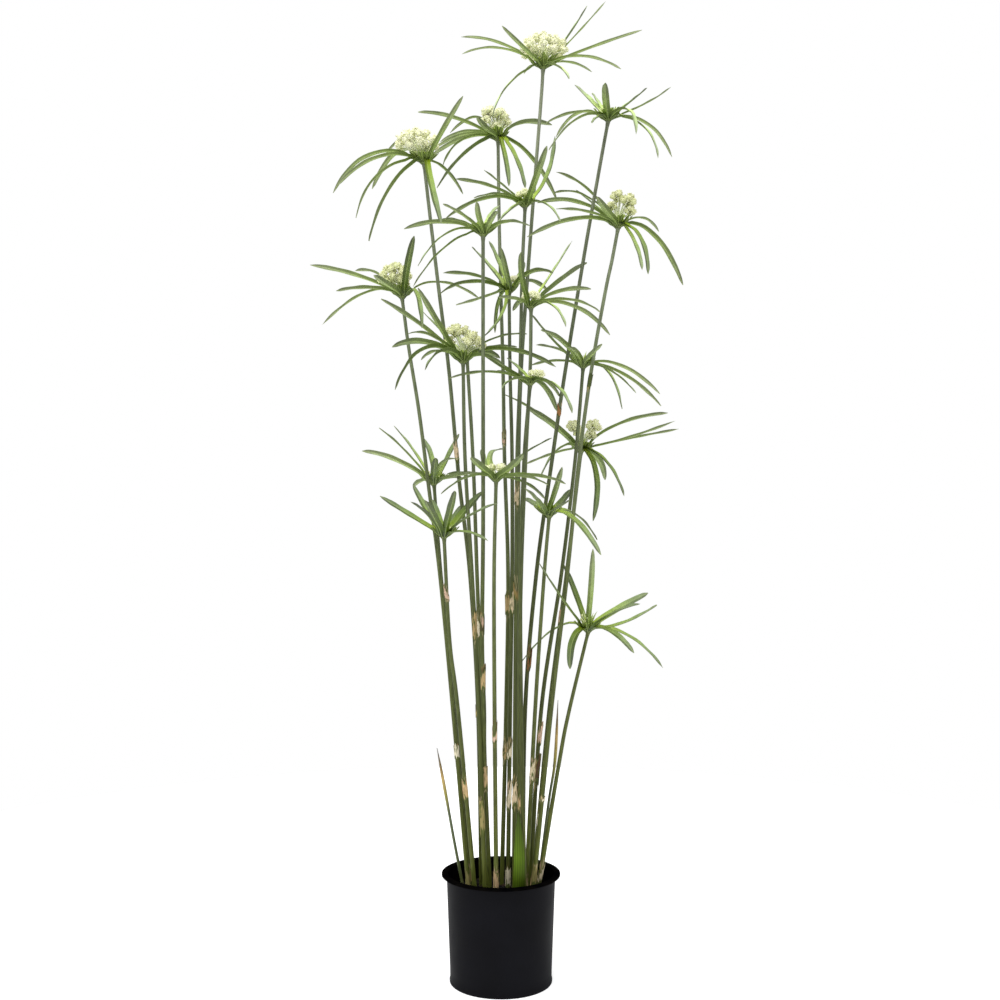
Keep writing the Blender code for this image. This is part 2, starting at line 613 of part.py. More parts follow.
def make_shoot(name, shoot, material):
    """A young shoot, drawn out to a sharp tip."""
    points = rise(shoot["path"], *shoot["depths"])
    mesh = bmesh.new()
    rings = []
    for index, point in enumerate(points[:-1]):
        radius = SHOOT_RADIUS * (1 - SHOOT_TAPER * index)
        rings.append(add_ring(mesh, point, radius, radius, STEM_SIDES))
    for lower, upper in zip(rings, rings[1:]):
        join_rings(mesh, lower, upper)
    close_to_point(mesh, rings[-1], points[-1])
    mesh.faces.new(tuple(reversed(rings[0])))
    return add_object(name, mesh, material)


def make_blade(material):
    """The short broad blade, flat from front to back."""
    points = rise(BLADE_PATH, *BLADE_DEPTHS)
    mesh = bmesh.new()
    widths = (BLADE_WIDTHS[0],) + BLADE_WIDTHS
    rings = []
    for point, width in zip(points, widths):
        rings.append(add_ring(mesh, point, width / 2, BLADE_THICKNESS / 2, STEM_SIDES))
    for lower, upper in zip(rings, rings[1:]):
        join_rings(mesh, lower, upper)
    close_to_point(mesh, rings[-1], points[-1])
    mesh.faces.new(tuple(reversed(rings[0])))
    return add_object("base_blade", mesh, material)


def main():
    for old in list(bpy.data.objects):
        bpy.data.objects.remove(old)
    make_pot()
    make_soil()
    stem_material = make_material("stem")
    leaf_material = make_material("leaf")
    flower_material = make_material("flower")
    shoot_material = make_material("shoot")
    for number, head in HEADS.items():
        make_stem(f"stem_{number:02d}", head, stem_material)
        make_whorl(f"leaf_whorl_{number:02d}", head, leaf_material)
        if head.flower:
            make_flower(f"flower_head_{number:02d}", head, flower_material)
    for name, shoot in SHOOTS.items():
        make_shoot(name, shoot, shoot_material)
    make_blade(make_material("blade"))


main()
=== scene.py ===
import math
import random

import bpy
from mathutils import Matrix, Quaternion, Vector, noise


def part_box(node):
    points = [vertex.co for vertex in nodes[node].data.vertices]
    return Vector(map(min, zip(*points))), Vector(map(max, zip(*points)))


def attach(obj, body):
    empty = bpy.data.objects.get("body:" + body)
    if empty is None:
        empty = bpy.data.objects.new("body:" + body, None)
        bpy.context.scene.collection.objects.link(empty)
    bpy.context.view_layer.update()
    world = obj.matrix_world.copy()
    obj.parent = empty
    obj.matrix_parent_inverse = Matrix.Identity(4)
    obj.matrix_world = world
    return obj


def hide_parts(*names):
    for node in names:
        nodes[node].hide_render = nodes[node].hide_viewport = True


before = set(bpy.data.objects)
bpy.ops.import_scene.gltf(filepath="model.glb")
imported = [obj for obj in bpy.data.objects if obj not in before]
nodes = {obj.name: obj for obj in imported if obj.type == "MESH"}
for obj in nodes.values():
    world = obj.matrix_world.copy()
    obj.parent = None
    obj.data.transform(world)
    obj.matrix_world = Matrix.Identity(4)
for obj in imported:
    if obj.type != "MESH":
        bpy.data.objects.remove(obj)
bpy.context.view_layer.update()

# A tall potted papyrus in its pot. Lengths are in metres, angles in degrees where a value says so.
# Stems, leaves and shoots are drawn along the middle lines of the frame's own.

millimetres = 1000       # in a metre
eyeHeight = 0.737        # of the level view that the plant was measured in
goldenAngle = math.pi * (3 - math.sqrt(5))       # steps of it never line up
anyTurn = 6.28           # the most that a chance turn is, in radians


def linearColour(hexCode):
    channels = [int(hexCode[start:start + 2], 16) / 255 for start in (0, 2, 4)]
    return [c / 12.92 if c <= 0.04045 else ((c + 0.055) / 1.055) ** 2.4 for c in channels] + [1.0]


def feed(tree, node, sources):
    # each source is a socket, a node whose first output is meant, or a plain value
    for name, source in sources.items():
        if isinstance(source, bpy.types.Node):
            source = source.outputs[0]
        if isinstance(source, bpy.types.NodeSocket):
            tree.links.new(source, node.inputs[name])
        else:
            node.inputs[name].default_value = source


def addNode(tree, kind, sources=None, stops=(), **settings):
    node = tree.nodes.new("ShaderNode" + kind)
    for name, value in settings.items():
        setattr(node, name, value)
    for index, (place, hexCode) in enumerate(stops):
        elements = node.color_ramp.elements
        element = elements[index] if index < 2 else elements.new(place)
        element.position = place
        element.color = linearColour(hexCode)
    feed(tree, node, sources or {})
    return node


def startMaterial(name, marks=(), **fixed):
    # a material with its shader's plain values, and the marks of the mesh that its patterns read
    material = bpy.data.materials.new(name)
    material.use_nodes = True
    tree = material.node_tree
    shader = tree.nodes["Principled BSDF"]
    feed(tree, shader, {socket.replace("_", " "): value for socket, value in fixed.items()})
    read = [addNode(tree, "Attribute", attribute_name=mark).outputs["Fac"] for mark in marks]
    return material, tree, shader, *read


def drawnOut(tree, coords, across, along, detail, place=(0, 0, 0)):
    # noise drawn out up the plant, with so many marks to a metre across it and up it
    stretched = addNode(tree, "Mapping", {"Vector": coords, "Scale": (across, across, along),
                                          "Location": place})
    return addNode(tree, "TexNoise", {"Vector": stretched, "Scale": 1, "Detail": detail})


def mottled(tree, colour, pattern, darkest, lightest, ownLight=1, **tone):
    # a colour that noise, which is mostly between 0.3 and 0.7, makes darker and lighter in places
    swing = addNode(tree, "MapRange", {"Value": pattern, "From Min": 0.3, "From Max": 0.7,
                                       "To Min": darkest, "To Max": lightest})
    light = addNode(tree, "Math", {0: swing, 1: ownLight}, operation="MULTIPLY")
    return addNode(tree, "HueSaturation", {"Color": colour, "Value": light, **tone})


def dress(tree, shader, colour, relief, strength, depth):
    # the shader's colour, and a pattern that stands up from the surface by a depth in metres
    raised = addNode(tree, "Bump", {"Height": relief, "Strength": strength, "Distance": depth})
    feed(tree, shader, {"Base Color": colour, "Normal": raised})


def between(low, high, share):
    return low + (high - low) * share


def evenShares(count):
    return [index / (count - 1) for index in range(count)]


def outward(angle):
    return Vector((math.cos(angle), math.sin(angle), 0))


def readStops(stops, share):
    # a value that runs straight from one stop to the next
    for (place, value), (nextPlace, nextValue) in zip(stops, stops[1:]):
        if share <= nextPlace:
            return between(value, nextValue, (share - place) / (nextPlace - place))
    return stops[-1][1]


def smoothPath(knots, shares, finePerSpan=14):
    # points at these shares of the length of a smooth curve through the knots
    ends = [2 * knots[0] - knots[1]] + list(knots) + [2 * knots[-1] - knots[-2]]
    fine = []
    for a, b, c, d in zip(ends, ends[1:], ends[2:], ends[3:]):
        for step in range(finePerSpan):
            t = step / finePerSpan
            fine.append(0.5 * (2 * b + (c - a) * t + (2 * a - 5 * b + 4 * c - d) * t * t
                               + (3 * b - a - 3 * c + d) * t ** 3))
    fine.append(knots[-1].copy())
    travelled = [0.0]
    for a, b in zip(fine, fine[1:]):
        travelled.append(travelled[-1] + (b - a).length)
    points, at = [], 0
    for share in shares:
        goal = share * travelled[-1]
        while at < len(fine) - 2 and travelled[at + 1] < goal:
            at += 1
        step = travelled[at + 1] - travelled[at]
        points.append(fine[at].lerp(fine[at + 1], min(1, (goal - travelled[at]) / step)))
    return points


def headings(points):
    ahead = points[1:] + points[-1:]
    behind = points[:1] + points[:-1]
    return [(b - a).normalized() for a, b in zip(behind, ahead)]


class PieceMesh:
    # points and faces of one piece, and the marks that its material reads at each point
    def __init__(self):
        self.points, self.faces, self.materialOf = [], [], []
        self.marks = {"along": [], "across": [], "shade": [], "facing": [], "dryness": []}

    def addFace(self, corners, material):
        self.faces.append(corners)
        self.materialOf.append(material)

    def addMarks(self, count, **values):
        for mark, value in values.items():
            self.marks[mark].extend([value] * count)

    def loft(self, rings, along, shade=0.5, across=None, facing=None, dryness=None, material=0, tip=None,
             loop=False):
        # a skin over rings of points that run counter-clockwise about the way they travel
        first, size, count = len(self.points), len(rings[0]), len(rings)
        for ring, place, dry in zip(rings, along, dryness or [0.0] * count):
            self.points.extend(ring)
            self.addMarks(size, along=place, dryness=dry, shade=shade)
        self.marks["across"].extend(across or [0.0] * (size * count))
        self.marks["facing"].extend((facing or [1.0] * size) * count)
        for level in range(count if loop else count - 1):
            low, high = first + level * size, first + (level + 1) % count * size
            for k in range(size):
                after = (k + 1) % size
                self.addFace((low + k, low + after, high + after, high + k), material)
        if loop:
            return
        self.addFace(tuple(range(first + size - 1, first - 1, -1)), material)
        last = first + (count - 1) * size
        if tip is None:
            self.addFace(tuple(range(last, last + size)), material)
            return
        self.points.append(tip)
        self.addMarks(1, along=along[-1], across=0.0, shade=shade, facing=1.0, dryness=0.0)
        for k in range(size):
            self.addFace((last + k, last + (k + 1) % size, len(self.points) - 1), material)


def makePiece(name, piece, materials, replaced=(), sharp=50):
    data = bpy.data.meshes.new(name)
    data.from_pydata(piece.points, [], piece.faces)
    for mark, values in piece.marks.items():
        data.attributes.new(mark, "FLOAT", "POINT").data.foreach_set("value", values)
    for material in materials:
        data.materials.append(material)
    data.polygons.foreach_set("material_index", piece.materialOf)
    data.shade_smooth()
    data.set_sharp_from_angle(angle=math.radians(sharp))
    shown = bpy.data.objects.new(name, data)
    bpy.context.scene.collection.objects.link(shown)
    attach(shown, "root")
    if replaced:
        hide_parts(*replaced)


def roundRing(centre, side, up, radius, sides, lobes=0, lobing=0.0):
    ring = []
    for k in range(sides):
        angle = 2 * math.pi * k / sides
        reach = radius * (1 + lobing * math.cos(lobes * angle))
        ring.append(centre + reach * (math.cos(angle) * side + math.sin(angle) * up))
    return ring


def levelRing(centre, radius, sides):
    return roundRing(centre, Vector((1, 0, 0)), Vector((0, 1, 0)), radius, sides)


def crossways(heading):
    # two directions square to a heading, the second a quarter turn on from the first
    side = Vector((1, 0, 0)) if abs(heading.x) < 0.9 else Vector((0, 1, 0))
    side = (side - side.dot(heading) * heading).normalized()
    return side, heading.cross(side)


def addTube(piece, points, radii, sides, shade=0.5, material=0, lobes=0, lobing=0.0, dryness=None):
    rings = []
    for point, heading, radius in zip(points, headings(points), radii):
        side, up = crossways(heading)
        rings.append(roundRing(point, side, up, radius, sides, lobes, lobing))
    piece.loft(rings, evenShares(len(points)), shade, dryness=dryness, material=material)


weldScale = 1e5          # places closer than a hundredth of a millimetre are one
leafSections = 4


def nodeGraph(node):
    places, found, ids = [], {}, []
    for vertex in node.data.vertices:
        key = tuple(round(value * weldScale) for value in vertex.co)
        if key not in found:
            found[key] = len(places)
            places.append(vertex.co.copy())
        ids.append(found[key])
    links = [set() for _ in places]
    for edge in node.data.edges:
        a, b = (ids[index] for index in edge.vertices)
        if a != b:
            links[a].add(b)
            links[b].add(a)
    return places, links


def middle(points):
    return sum(points, Vector()) / len(points)


def stemLine(name):
    # middles of a stem's rings, from the soil upwards
    levels = {}
    for place in nodeGraph(nodes[name])[0]:
        levels.setdefault(round(place.z, 4), []).append(place)
    return [middle(levels[height]) for height in sorted(levels)]


def leafLines(name):
    # each leaf of a whorl as (points from its base to its tip, its full width)
    places, links = nodeGraph(nodes[name])
    lines = []
    for tip, around in enumerate(links):
        if len(around) != 3:
            continue
        seen, level, sections = {tip}, [tip], []
        for _ in range(leafSections + 1):
            level = sorted({n for one in level for n in links[one]} - seen)
            seen.update(level)
            sections.append([places[n] for n in level])
        knots, width = [places[tip]], 0
        for corners in sections[:-1]:
            pairs = [(corners[0], corners[1]), (corners[1], corners[2]), (corners[0], corners[2])]
            left, right = max(pairs, key=lambda pair: (pair[0] - pair[1]).length)
            knots.append((left + right) / 2)
            width = max(width, (left - right).length)
        knots.append(middle(sections[-1]))
        lines.append((knots[::-1], width))
    lines.sort(key=lambda line: math.atan2(line[0][-1].y - line[0][0].y, line[0][-1].x - line[0][0].x))
    return lines


headNumbers = sorted(int(name[-2:]) for name in nodes if name.startswith("leaf_whorl_"))
stemLines = {number: stemLine(f"stem_{number:02d}") for number in headNumbers}
print("lines read for", len(stemLines), "stems")


def leafSkin():
    # Fresh sedge leaf, thin and waxy over parallel veins: a satin yellow-green with faint lengthwise
    # lines, brightest near the base and greyer towards the tip. Painted shade darkens its very foot, its
    # underside most of all where it leaves the stem, and the half that folds up.
    material, tree, shader, along, across, shade, facing = startMaterial(
        "freshSedgeLeaf", ["along", "across", "shade", "facing"], IOR=1.45, Specular_IOR_Level=0.3)
    coords = addNode(tree, "TexCoord").outputs["Object"]
    # the upper side starts dark at its very foot, pressed against the stem: painted shade
    upper = addNode(tree, "ValToRGB", {"Fac": along}, stops=(
        (0.0, "6a7e2a"), (0.08, "9eb050"), (0.30, "9aad5e"), (0.60, "90a268"), (0.85, "86946e"),
        (1.0, "7a8266")))
    # the underside is darker than the top, darkest where it leaves the stem: painted shade
    under = addNode(tree, "ValToRGB", {"Fac": along}, stops=(
        (0.0, "2b3a0d"), (0.06, "3c4e18"), (0.18, "667a38"), (0.45, "7b8d50"), (0.8, "79865c"),
        (1.0, "70785a")))
    green = addNode(tree, "Mix", {0: facing, 6: under, 7: upper}, data_type="RGBA").outputs[2]
    # each leaf's tone sets its brightness: partly age, partly painted light and shade
    leafLight = addNode(tree, "MapRange", {"Value": shade, "To Min": 0.45, "To Max": 1.50})
    # painted shade: the half that folds up is darker and the other half lighter
    paintedHalfShade = addNode(tree, "MapRange", {"Value": across, "From Min": -0.0008, "From Max": 0.0016,
                                           "To Min": 1.22, "To Max": 0.70})
    ownLight = addNode(tree, "Math", {0: leafLight, 1: paintedHalfShade}, operation="MULTIPLY")
    # the darker leaves, in painted shade, are the richest green, and the paler ones, in painted light, are
    # yellower and a little bleached
    hue = addNode(tree, "MapRange", {"Value": shade, "To Min": 0.508, "To Max": 0.494})
    richness = addNode(tree, "MapRange", {"Value": shade, "To Min": 1.24, "To Max": 0.97})
    # fresh growth comes in blotches about 12 mm long
    blotches = addNode(tree, "TexNoise", {"Vector": coords, "Scale": 80, "Detail": 3})
    varied = mottled(tree, green, blotches, 0.84, 1.16, ownLight, Hue=hue, Saturation=richness)
    # pale midrib about 0.8 mm wide
    fromRib = addNode(tree, "Math", {0: across}, operation="ABSOLUTE")
    rib = addNode(tree, "MapRange", {"Value": fromRib, "From Min": 0.0002, "From Max": 0.0008,
                                     "To Min": 0.35, "To Max": 0.0})
    ribbed = addNode(tree, "Mix", {0: rib, 6: varied, 7: linearColour("b8c87c")}, data_type="RGBA")
    # parallel veins, drawn 1.1 mm apart where the real ones are 0.4 mm, to show at all
    turns = addNode(tree, "Math", {0: across, 1: 2 * math.pi / 0.0011}, operation="MULTIPLY")
    veins = addNode(tree, "Math", {0: turns}, operation="SINE")
    veinLight = addNode(tree, "MapRange", {"Value": veins, "From Min": -1, "To Min": 0.93, "To Max": 1.06})
    veined = addNode(tree, "HueSaturation", {"Color": ribbed.outputs[2], "Value": veinLight})
    gloss = addNode(tree, "MapRange", {"Value": blotches, "To Min": 0.42, "To Max": 0.6})
    feed(tree, shader, {"Roughness": gloss})
    dress(tree, shader, veined, veins, 0.25, 0.00012)
    return material


def stemSkin():
    # Living sedge stem, smooth and finely ribbed: olive satin green, yellower low down and greyer high
    # up, with straw and brown scars where old sheaths dried on it.
    material, tree, shader, shade, dryness = startMaterial(
        "ribbedSedgeStem", ["shade", "dryness"], Roughness=0.5, IOR=1.45, Specular_IOR_Level=0.22)
    coords = addNode(tree, "TexCoord").outputs["Object"]
    height = addNode(tree, "SeparateXYZ", {0: coords}).outputs["Z"]
    share = addNode(tree, "MapRange", {"Value": height, "From Min": 0.136, "From Max": 1.45})
    green = addNode(tree, "ValToRGB", {"Fac": share}, stops=(
        (0.0, "565e24"), (0.10, "464c1e"), (0.22, "4d542c"), (0.35, "565e36"), (0.65, "6a7357"),
        (1.0, "868b75")))
    streaks = drawnOut(tree, coords, 650, 16, 2)             # 1.5 mm wide and about 60 mm long
    stemLight = addNode(tree, "MapRange", {"Value": shade, "To Min": 0.8, "To Max": 1.32})
    varied = mottled(tree, green, streaks, 0.62, 1.34, stemLight)
    # dried scars about 13 mm long and 2.4 mm wide, thickest where the stem is marked as dry
    scars = drawnOut(tree, coords, 420, 75, 3)
    reached = addNode(tree, "Math", {0: scars, 1: dryness}, operation="ADD")
    scarred = addNode(tree, "MapRange", {"Value": reached, "From Min": 0.86, "From Max": 1.10})
    tints = addNode(tree, "TexNoise", {"Vector": coords, "Scale": 34, "Detail": 1})
    dried = addNode(tree, "ValToRGB", {"Fac": tints}, stops=(
        (0.32, "5c4528"), (0.42, "a58a58"), (0.52, "d2bf94"), (0.64, "c9a690")))
    marked = addNode(tree, "Mix", {0: scarred, 6: varied, 7: dried}, data_type="RGBA").outputs[2]
    ribs = drawnOut(tree, coords, 1400, 8, 1)                # 0.7 mm apart
    dress(tree, shader, marked, ribs, 0.35, 0.0002)
    return material


def sheathPaper():
    # Dried leaf sheath, papery and torn: matt straw to rust, streaked lengthwise, still green in places
    # and towards both ends.
    material, tree, shader, along, shade = startMaterial("driedLeafSheath", ["along", "shade"],
                                                         Roughness=0.78, IOR=1.4)
    coords = addNode(tree, "TexCoord").outputs["Object"]
    paper = addNode(tree, "ValToRGB", {"Fac": shade}, stops=(
        (0.0, "e6dcc0"), (0.15, "dcc8a2"), (0.30, "d0ae96"), (0.45, "bb9f6e"), (0.60, "8d8650"),
        (0.75, "a2683c"), (0.90, "4f3b26"), (1.0, "46502a")))
    streaks = drawnOut(tree, coords, 650, 50, 4)             # 1.5 mm wide and 20 mm long
    varied = mottled(tree, paper, streaks, 0.62, 1.2)
    # green left in patches 2.6 mm wide and 11 mm long, most of it at the foot and the tip
    ends = addNode(tree, "ValToRGB", {"Fac": along}, stops=(
        (0.0, "ffffff"), (0.22, "000000"), (0.70, "000000"), (1.0, "8c8c8c")))
    patches = drawnOut(tree, coords, 380, 90, 2, place=(3, 7, 1))
    living = addNode(tree, "Math", {0: ends, 1: 0.32, 2: patches}, operation="MULTIPLY_ADD")
    green = addNode(tree, "MapRange", {"Value": living, "From Min": 0.54, "From Max": 0.66})
    coloured = addNode(tree, "Mix", {0: green, 6: varied, 7: linearColour("525c26")}, data_type="RGBA")
    dress(tree, shader, coloured.outputs[2], streaks, 0.5, 0.0004)
    return material


def chaffySpikelet():
    # Flowering sedge spikelet, overlapping chaffy scales: soft matt cream, a little greener at its foot.
    # The youngest are olive, and some tips are a little pink.
    material, tree, shader, along, shade = startMaterial(
        "chaffySpikelet", ["along", "shade"], Roughness=0.75, IOR=1.4, Sheen_Weight=0.5,
        Sheen_Tint=linearColour("f6f4cc"))
    coords = addNode(tree, "TexCoord").outputs["Object"]
    body = addNode(tree, "ValToRGB", {"Fac": along}, stops=(
        (0.0, "f4f6de"), (0.3, "fafbec"), (0.75, "fdfcf2"), (1.0, "f9f2e6")))
    tints = addNode(tree, "ValToRGB", {"Fac": shade}, stops=(
        (0.0, "dadda6"), (0.25, "ebeec6"), (0.5, "f8f9e0"), (0.8, "fefdf0"), (1.0, "fae8de")))
    mixed = addNode(tree, "Mix", {0: 1, 6: body, 7: tints}, data_type="RGBA", blend_type="MULTIPLY")
    # scales overlap every 1.2 mm
    grain = addNode(tree, "TexNoise", {"Vector": coords, "Scale": 850, "Detail": 2})
    varied = mottled(tree, mixed.outputs[2], grain, 0.86, 1.08)
    dress(tree, shader, varied, grain, 0.4, 0.0003)
    return material


def greenRay():
    # Flower stalk, thin and soft: satin pale green, yellower at its foot and paler towards its spikelets.
    material, tree, shader, along, shade = startMaterial("flowerRay", ["along", "shade"],
                                                         Roughness=0.55, IOR=1.45)
    coords = addNode(tree, "TexCoord").outputs["Object"]
    green = addNode(tree, "ValToRGB", {"Fac": along}, stops=(
        (0.0, "bccb80"), (0.35, "dce4b2"), (1.0, "f2f4dc")))
    light = addNode(tree, "MapRange", {"Value": shade, "To Min": 0.82, "To Max": 1.12})
    varied = addNode(tree, "HueSaturation", {"Color": green, "Value": light})
    # ribs 0.5 mm apart
    ribs = addNode(tree, "TexNoise", {"Vector": coords, "Scale": 2000, "Detail": 1})
    dress(tree, shader, varied, ribs, 0.2, 0.0001)
    return material


def freshShootSkin():
    # Young rolled shoot in its own sheaths: green below, straw and brown near the tip, satin.
    material, tree, shader, along = startMaterial("youngShoot", ["along"], Roughness=0.5, IOR=1.45)
    coords = addNode(tree, "TexCoord").outputs["Object"]
    colour = addNode(tree, "ValToRGB", {"Fac": along}, stops=(
        (0.0, "8c8a5e"), (0.10, "525c30"), (0.55, "4e583a"), (0.68, "8d863c"), (0.80, "b89b5c"),
        (0.88, "75623c"), (1.0, "74726a")))
    streaks = drawnOut(tree, coords, 600, 30, 3)             # 1.7 mm wide and 33 mm long
    varied = mottled(tree, colour, streaks, 0.7, 1.25)
    dress(tree, shader, varied, streaks, 0.4, 0.0003)
    return material


def footBladeSkin():
    # Broad young basal leaf, fleshy and fresh: satin grass green with lighter lengthwise bands.
    material, tree, shader, along, across = startMaterial(
        "broadBasalLeaf", ["along", "across"], Roughness=0.45, IOR=1.45, Specular_IOR_Level=0.12)
    green = addNode(tree, "ValToRGB", {"Fac": along}, stops=(
        (0.0, "26340c"), (0.25, "43570e"), (0.5, "526b14"), (0.75, "465a16"), (1.0, "38451c")))
    # lengthwise bands 3.4 mm apart
    turns = addNode(tree, "Math", {0: across, 1: 2 * math.pi / 0.0034}, operation="MULTIPLY")
    bands = addNode(tree, "Math", {0: turns}, operation="SINE")
    bandLight = addNode(tree, "MapRange", {"Value": bands, "From Min": -1, "To Min": 0.82, "To Max": 1.2})
    # the right half is painted darker: painted shade
    paintedSideShade = addNode(tree, "MapRange", {"Value": across, "From Min": -0.008, "From Max": 0.004,
                                           "To Min": 0.68, "To Max": 1.05})
    light = addNode(tree, "Math", {0: bandLight, 1: paintedSideShade}, operation="MULTIPLY")
    varied = addNode(tree, "HueSaturation", {"Color": green, "Value": light})
    dress(tree, shader, varied, bands, 0.3, 0.0004)
    return material


def mouldedPotPlastic():
    # Black polypropylene, injection moulded with a fine matt texture: nearly black, a little lighter
    # where it turns away at the sides.
    material, tree, shader = startMaterial("mouldedPolypropylene", IOR=1.49, Specular_IOR_Level=0.05)
    coords = addNode(tree, "TexCoord").outputs["Object"]
    # melt flow shows as cloudy patches about 60 mm across
    clouds = addNode(tree, "TexNoise", {"Vector": coords, "Scale": 16, "Detail": 3})
    colour = addNode(tree, "ValToRGB", {"Fac": clouds}, stops=((0.3, "0a0a0d"), (0.7, "101014")))
    gloss = addNode(tree, "MapRange", {"Value": clouds, "From Min": 0.3, "From Max": 0.7,
                                       "To Min": 0.52, "To Max": 0.66})
    feed(tree, shader, {"Roughness": gloss})
    # spark-eroded mould grain, 0.8 mm
    grain = addNode(tree, "TexNoise", {"Vector": coords, "Scale": 1250, "Detail": 2})
    dress(tree, shader, colour, grain, 0.12, 0.0003)
    return material


def paintedShadeRimPlastic():
    # The same plastic under the rim, on its top and inside, painted the blackest of all as painted
    # shade, and dead matt.
    material, tree, shader = startMaterial("paintedShadeRimPlastic", Roughness=0.9, IOR=1.49,
                                           Specular_IOR_Level=0.0)
    coords = addNode(tree, "TexCoord").outputs["Object"]
    # faint patches about 15 mm across
    smears = addNode(tree, "TexNoise", {"Vector": coords, "Scale": 65, "Detail": 3})
    colour = addNode(tree, "ValToRGB", {"Fac": smears}, stops=((0.35, "030304"), (0.75, "0b0907")))
    dress(tree, shader, colour, smears, 0.1, 0.0003)
    return material


def pottingMix():
    # Peat and composted bark, screened to about 6 mm and moist: matt, near black with brown chips.
    material, tree, shader, shade = startMaterial("peatAndBark", ["shade"], Roughness=0.95, IOR=1.4)
    coords = addNode(tree, "TexCoord").outputs["Object"]
    crumb = addNode(tree, "ValToRGB", {"Fac": shade}, stops=(
        (0.0, "0d0a08"), (0.5, "1a130e"), (0.85, "2b1e14"), (1.0, "4a3826")))
    # fibres and grit of about 1.4 mm
    grain = addNode(tree, "TexNoise", {"Vector": coords, "Scale": 700, "Detail": 3})
    varied = mottled(tree, crumb, grain, 0.6, 1.4)
    dress(tree, shader, varied, grain, 0.8, 0.0006)
    return material


leafMaterial = leafSkin()
stemMaterial = stemSkin()
sheathMaterial = sheathPaper()
spikeletMaterial = chaffySpikelet()
rayMaterial = greenRay()
print("materials made")


pot = {
    "sides": 144,
    "wall": 0.0022,
    "overhang": 0.0077,      # how far the rim reaches out past the top of the side
    "taper": 0.0135,         # and past its foot
    "rimThickness": 0.0034,
    "rimRounding": 0.0010,
    "flare": 0.0021,         # radius of the turn from the side into the rim
    "footStep": 0.0012,
    "footRounding": 0.0016,
    "footHeight": 0.005,
    "underRecess": 0.0015,
    "recessSlope": (0.0080, 0.0065),     # where the recess starts and ends, in from the foot
    "floor": 0.003,          # height of its inside
    "centreHole": 0.004,     # radius where the turned outline stops, in the middle of the flat floor
}


def arc(centre, radius, startAngle, endAngle, steps=6):
    # (radius, height) points of an arc in the turned profile, angles in degrees
    points = []
    for share in evenShares(steps + 1):
        angle = math.radians(between(startAngle, endAngle, share))
        points.append((centre[0] + radius * math.cos(angle), centre[1] + radius * math.sin(angle)))
    return points


def makePot():
    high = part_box("pot")[1]
    rim, top, wall = high.x, high.z, pot["wall"]
    bodyTop, bodyBase = rim - pot["overhang"], rim - pot["taper"]
    foot, footRounding, footHeight = bodyBase + pot["footStep"], pot["footRounding"], pot["footHeight"]
    flare, rounding = pot["flare"], pot["rimRounding"]
    underRim = top - pot["rimThickness"]
    slopeStart, slopeEnd = pot["recessSlope"]
    profile = [(pot["centreHole"], pot["underRecess"]), (foot - slopeStart, pot["underRecess"]),
               (foot - slopeEnd, 0.0)]
    profile += arc((foot - footRounding, footRounding), footRounding, -90, 0)
    profile += [(foot, footHeight - 0.001), (bodyBase + 0.0003, footHeight + 0.0004)]     # a soft step
    for share in evenShares(13)[1:-1]:             # the straight side
        profile.append((between(bodyBase, bodyTop, share), between(footHeight, underRim - flare, share)))
    profile += arc((bodyTop + flare, underRim - flare), flare, 180, 90)
    outside = len(profile)
    profile += arc((rim - rounding, underRim + rounding), rounding, -90, 0)
    profile += arc((rim - rounding, top - rounding), rounding, 0, 90)
    profile += arc((bodyTop - wall + rounding, top - rounding), rounding, 90, 180)
    for share in evenShares(9)[1:-1]:
        profile.append((between(bodyTop, bodyBase, share) - wall,
                        between(underRim - flare, pot["floor"] + 0.001, share)))
    profile += [(bodyBase - wall - 0.0015, pot["floor"]), (pot["centreHole"], pot["floor"])]
    piece = PieceMesh()
    rings = [levelRing(Vector((0, 0, height)), radius, pot["sides"]) for radius, height in profile]
    piece.loft(rings, evenShares(len(rings)))
    fromRim = outside * pot["sides"]
    piece.materialOf[fromRim:] = [1] * (len(piece.faces) - fromRim)       # the underside and top of the rim and the inside take the painted-shade black
    makePiece("pot_shell", piece, [mouldedPotPlastic(), paintedShadeRimPlastic()], ["pot"], sharp=40)


makePot()
print("pot turned")

soil = {
    "crumbs": 1500,
    "crumbSize": (0.0016, 0.0048),       # half its length
    "chipShare": 0.22,                   # the share that are flat bark chips
    "chipFlatness": (0.25, 0.4),         # height by half length of a bark chip
    "crumbFlatness": (0.6, 0.9),         # and of a peat crumb
    "crumbOutline": ((-0.55, 0.7), (0.0, 1.0), (0.5, 0.75)),      # (height, reach) of its rings, shares
    "crumbSides": 5,
    "crumbRoughness": (0.75, 1.2),       # how far out its corners are
    "crumbWidth": 0.75,                  # width by length
    "clear": 0.0004,                     # air between the soil and the pot
    "taper": 0.006,                      # how much narrower it is at its foot
    "sunk": 0.0015,                      # how far the crust lies under the frame's flat top
    "hollows": (0.0022, 90),             # depth, and how many to a metre
    "grit": (0.0008, 420),
    "crumbsSunk": 0.0012,
    "crumbsLift": 0.0016,                # how far some of them lie higher
    "clearOfEdge": 0.003,
    "centreHole": 0.0006,
    "rings": 26,
    "sides": 96,
}


def bumpiness(place, kind):
    size, perMetre = soil[kind]
    return size * noise.noise(place * perMetre)


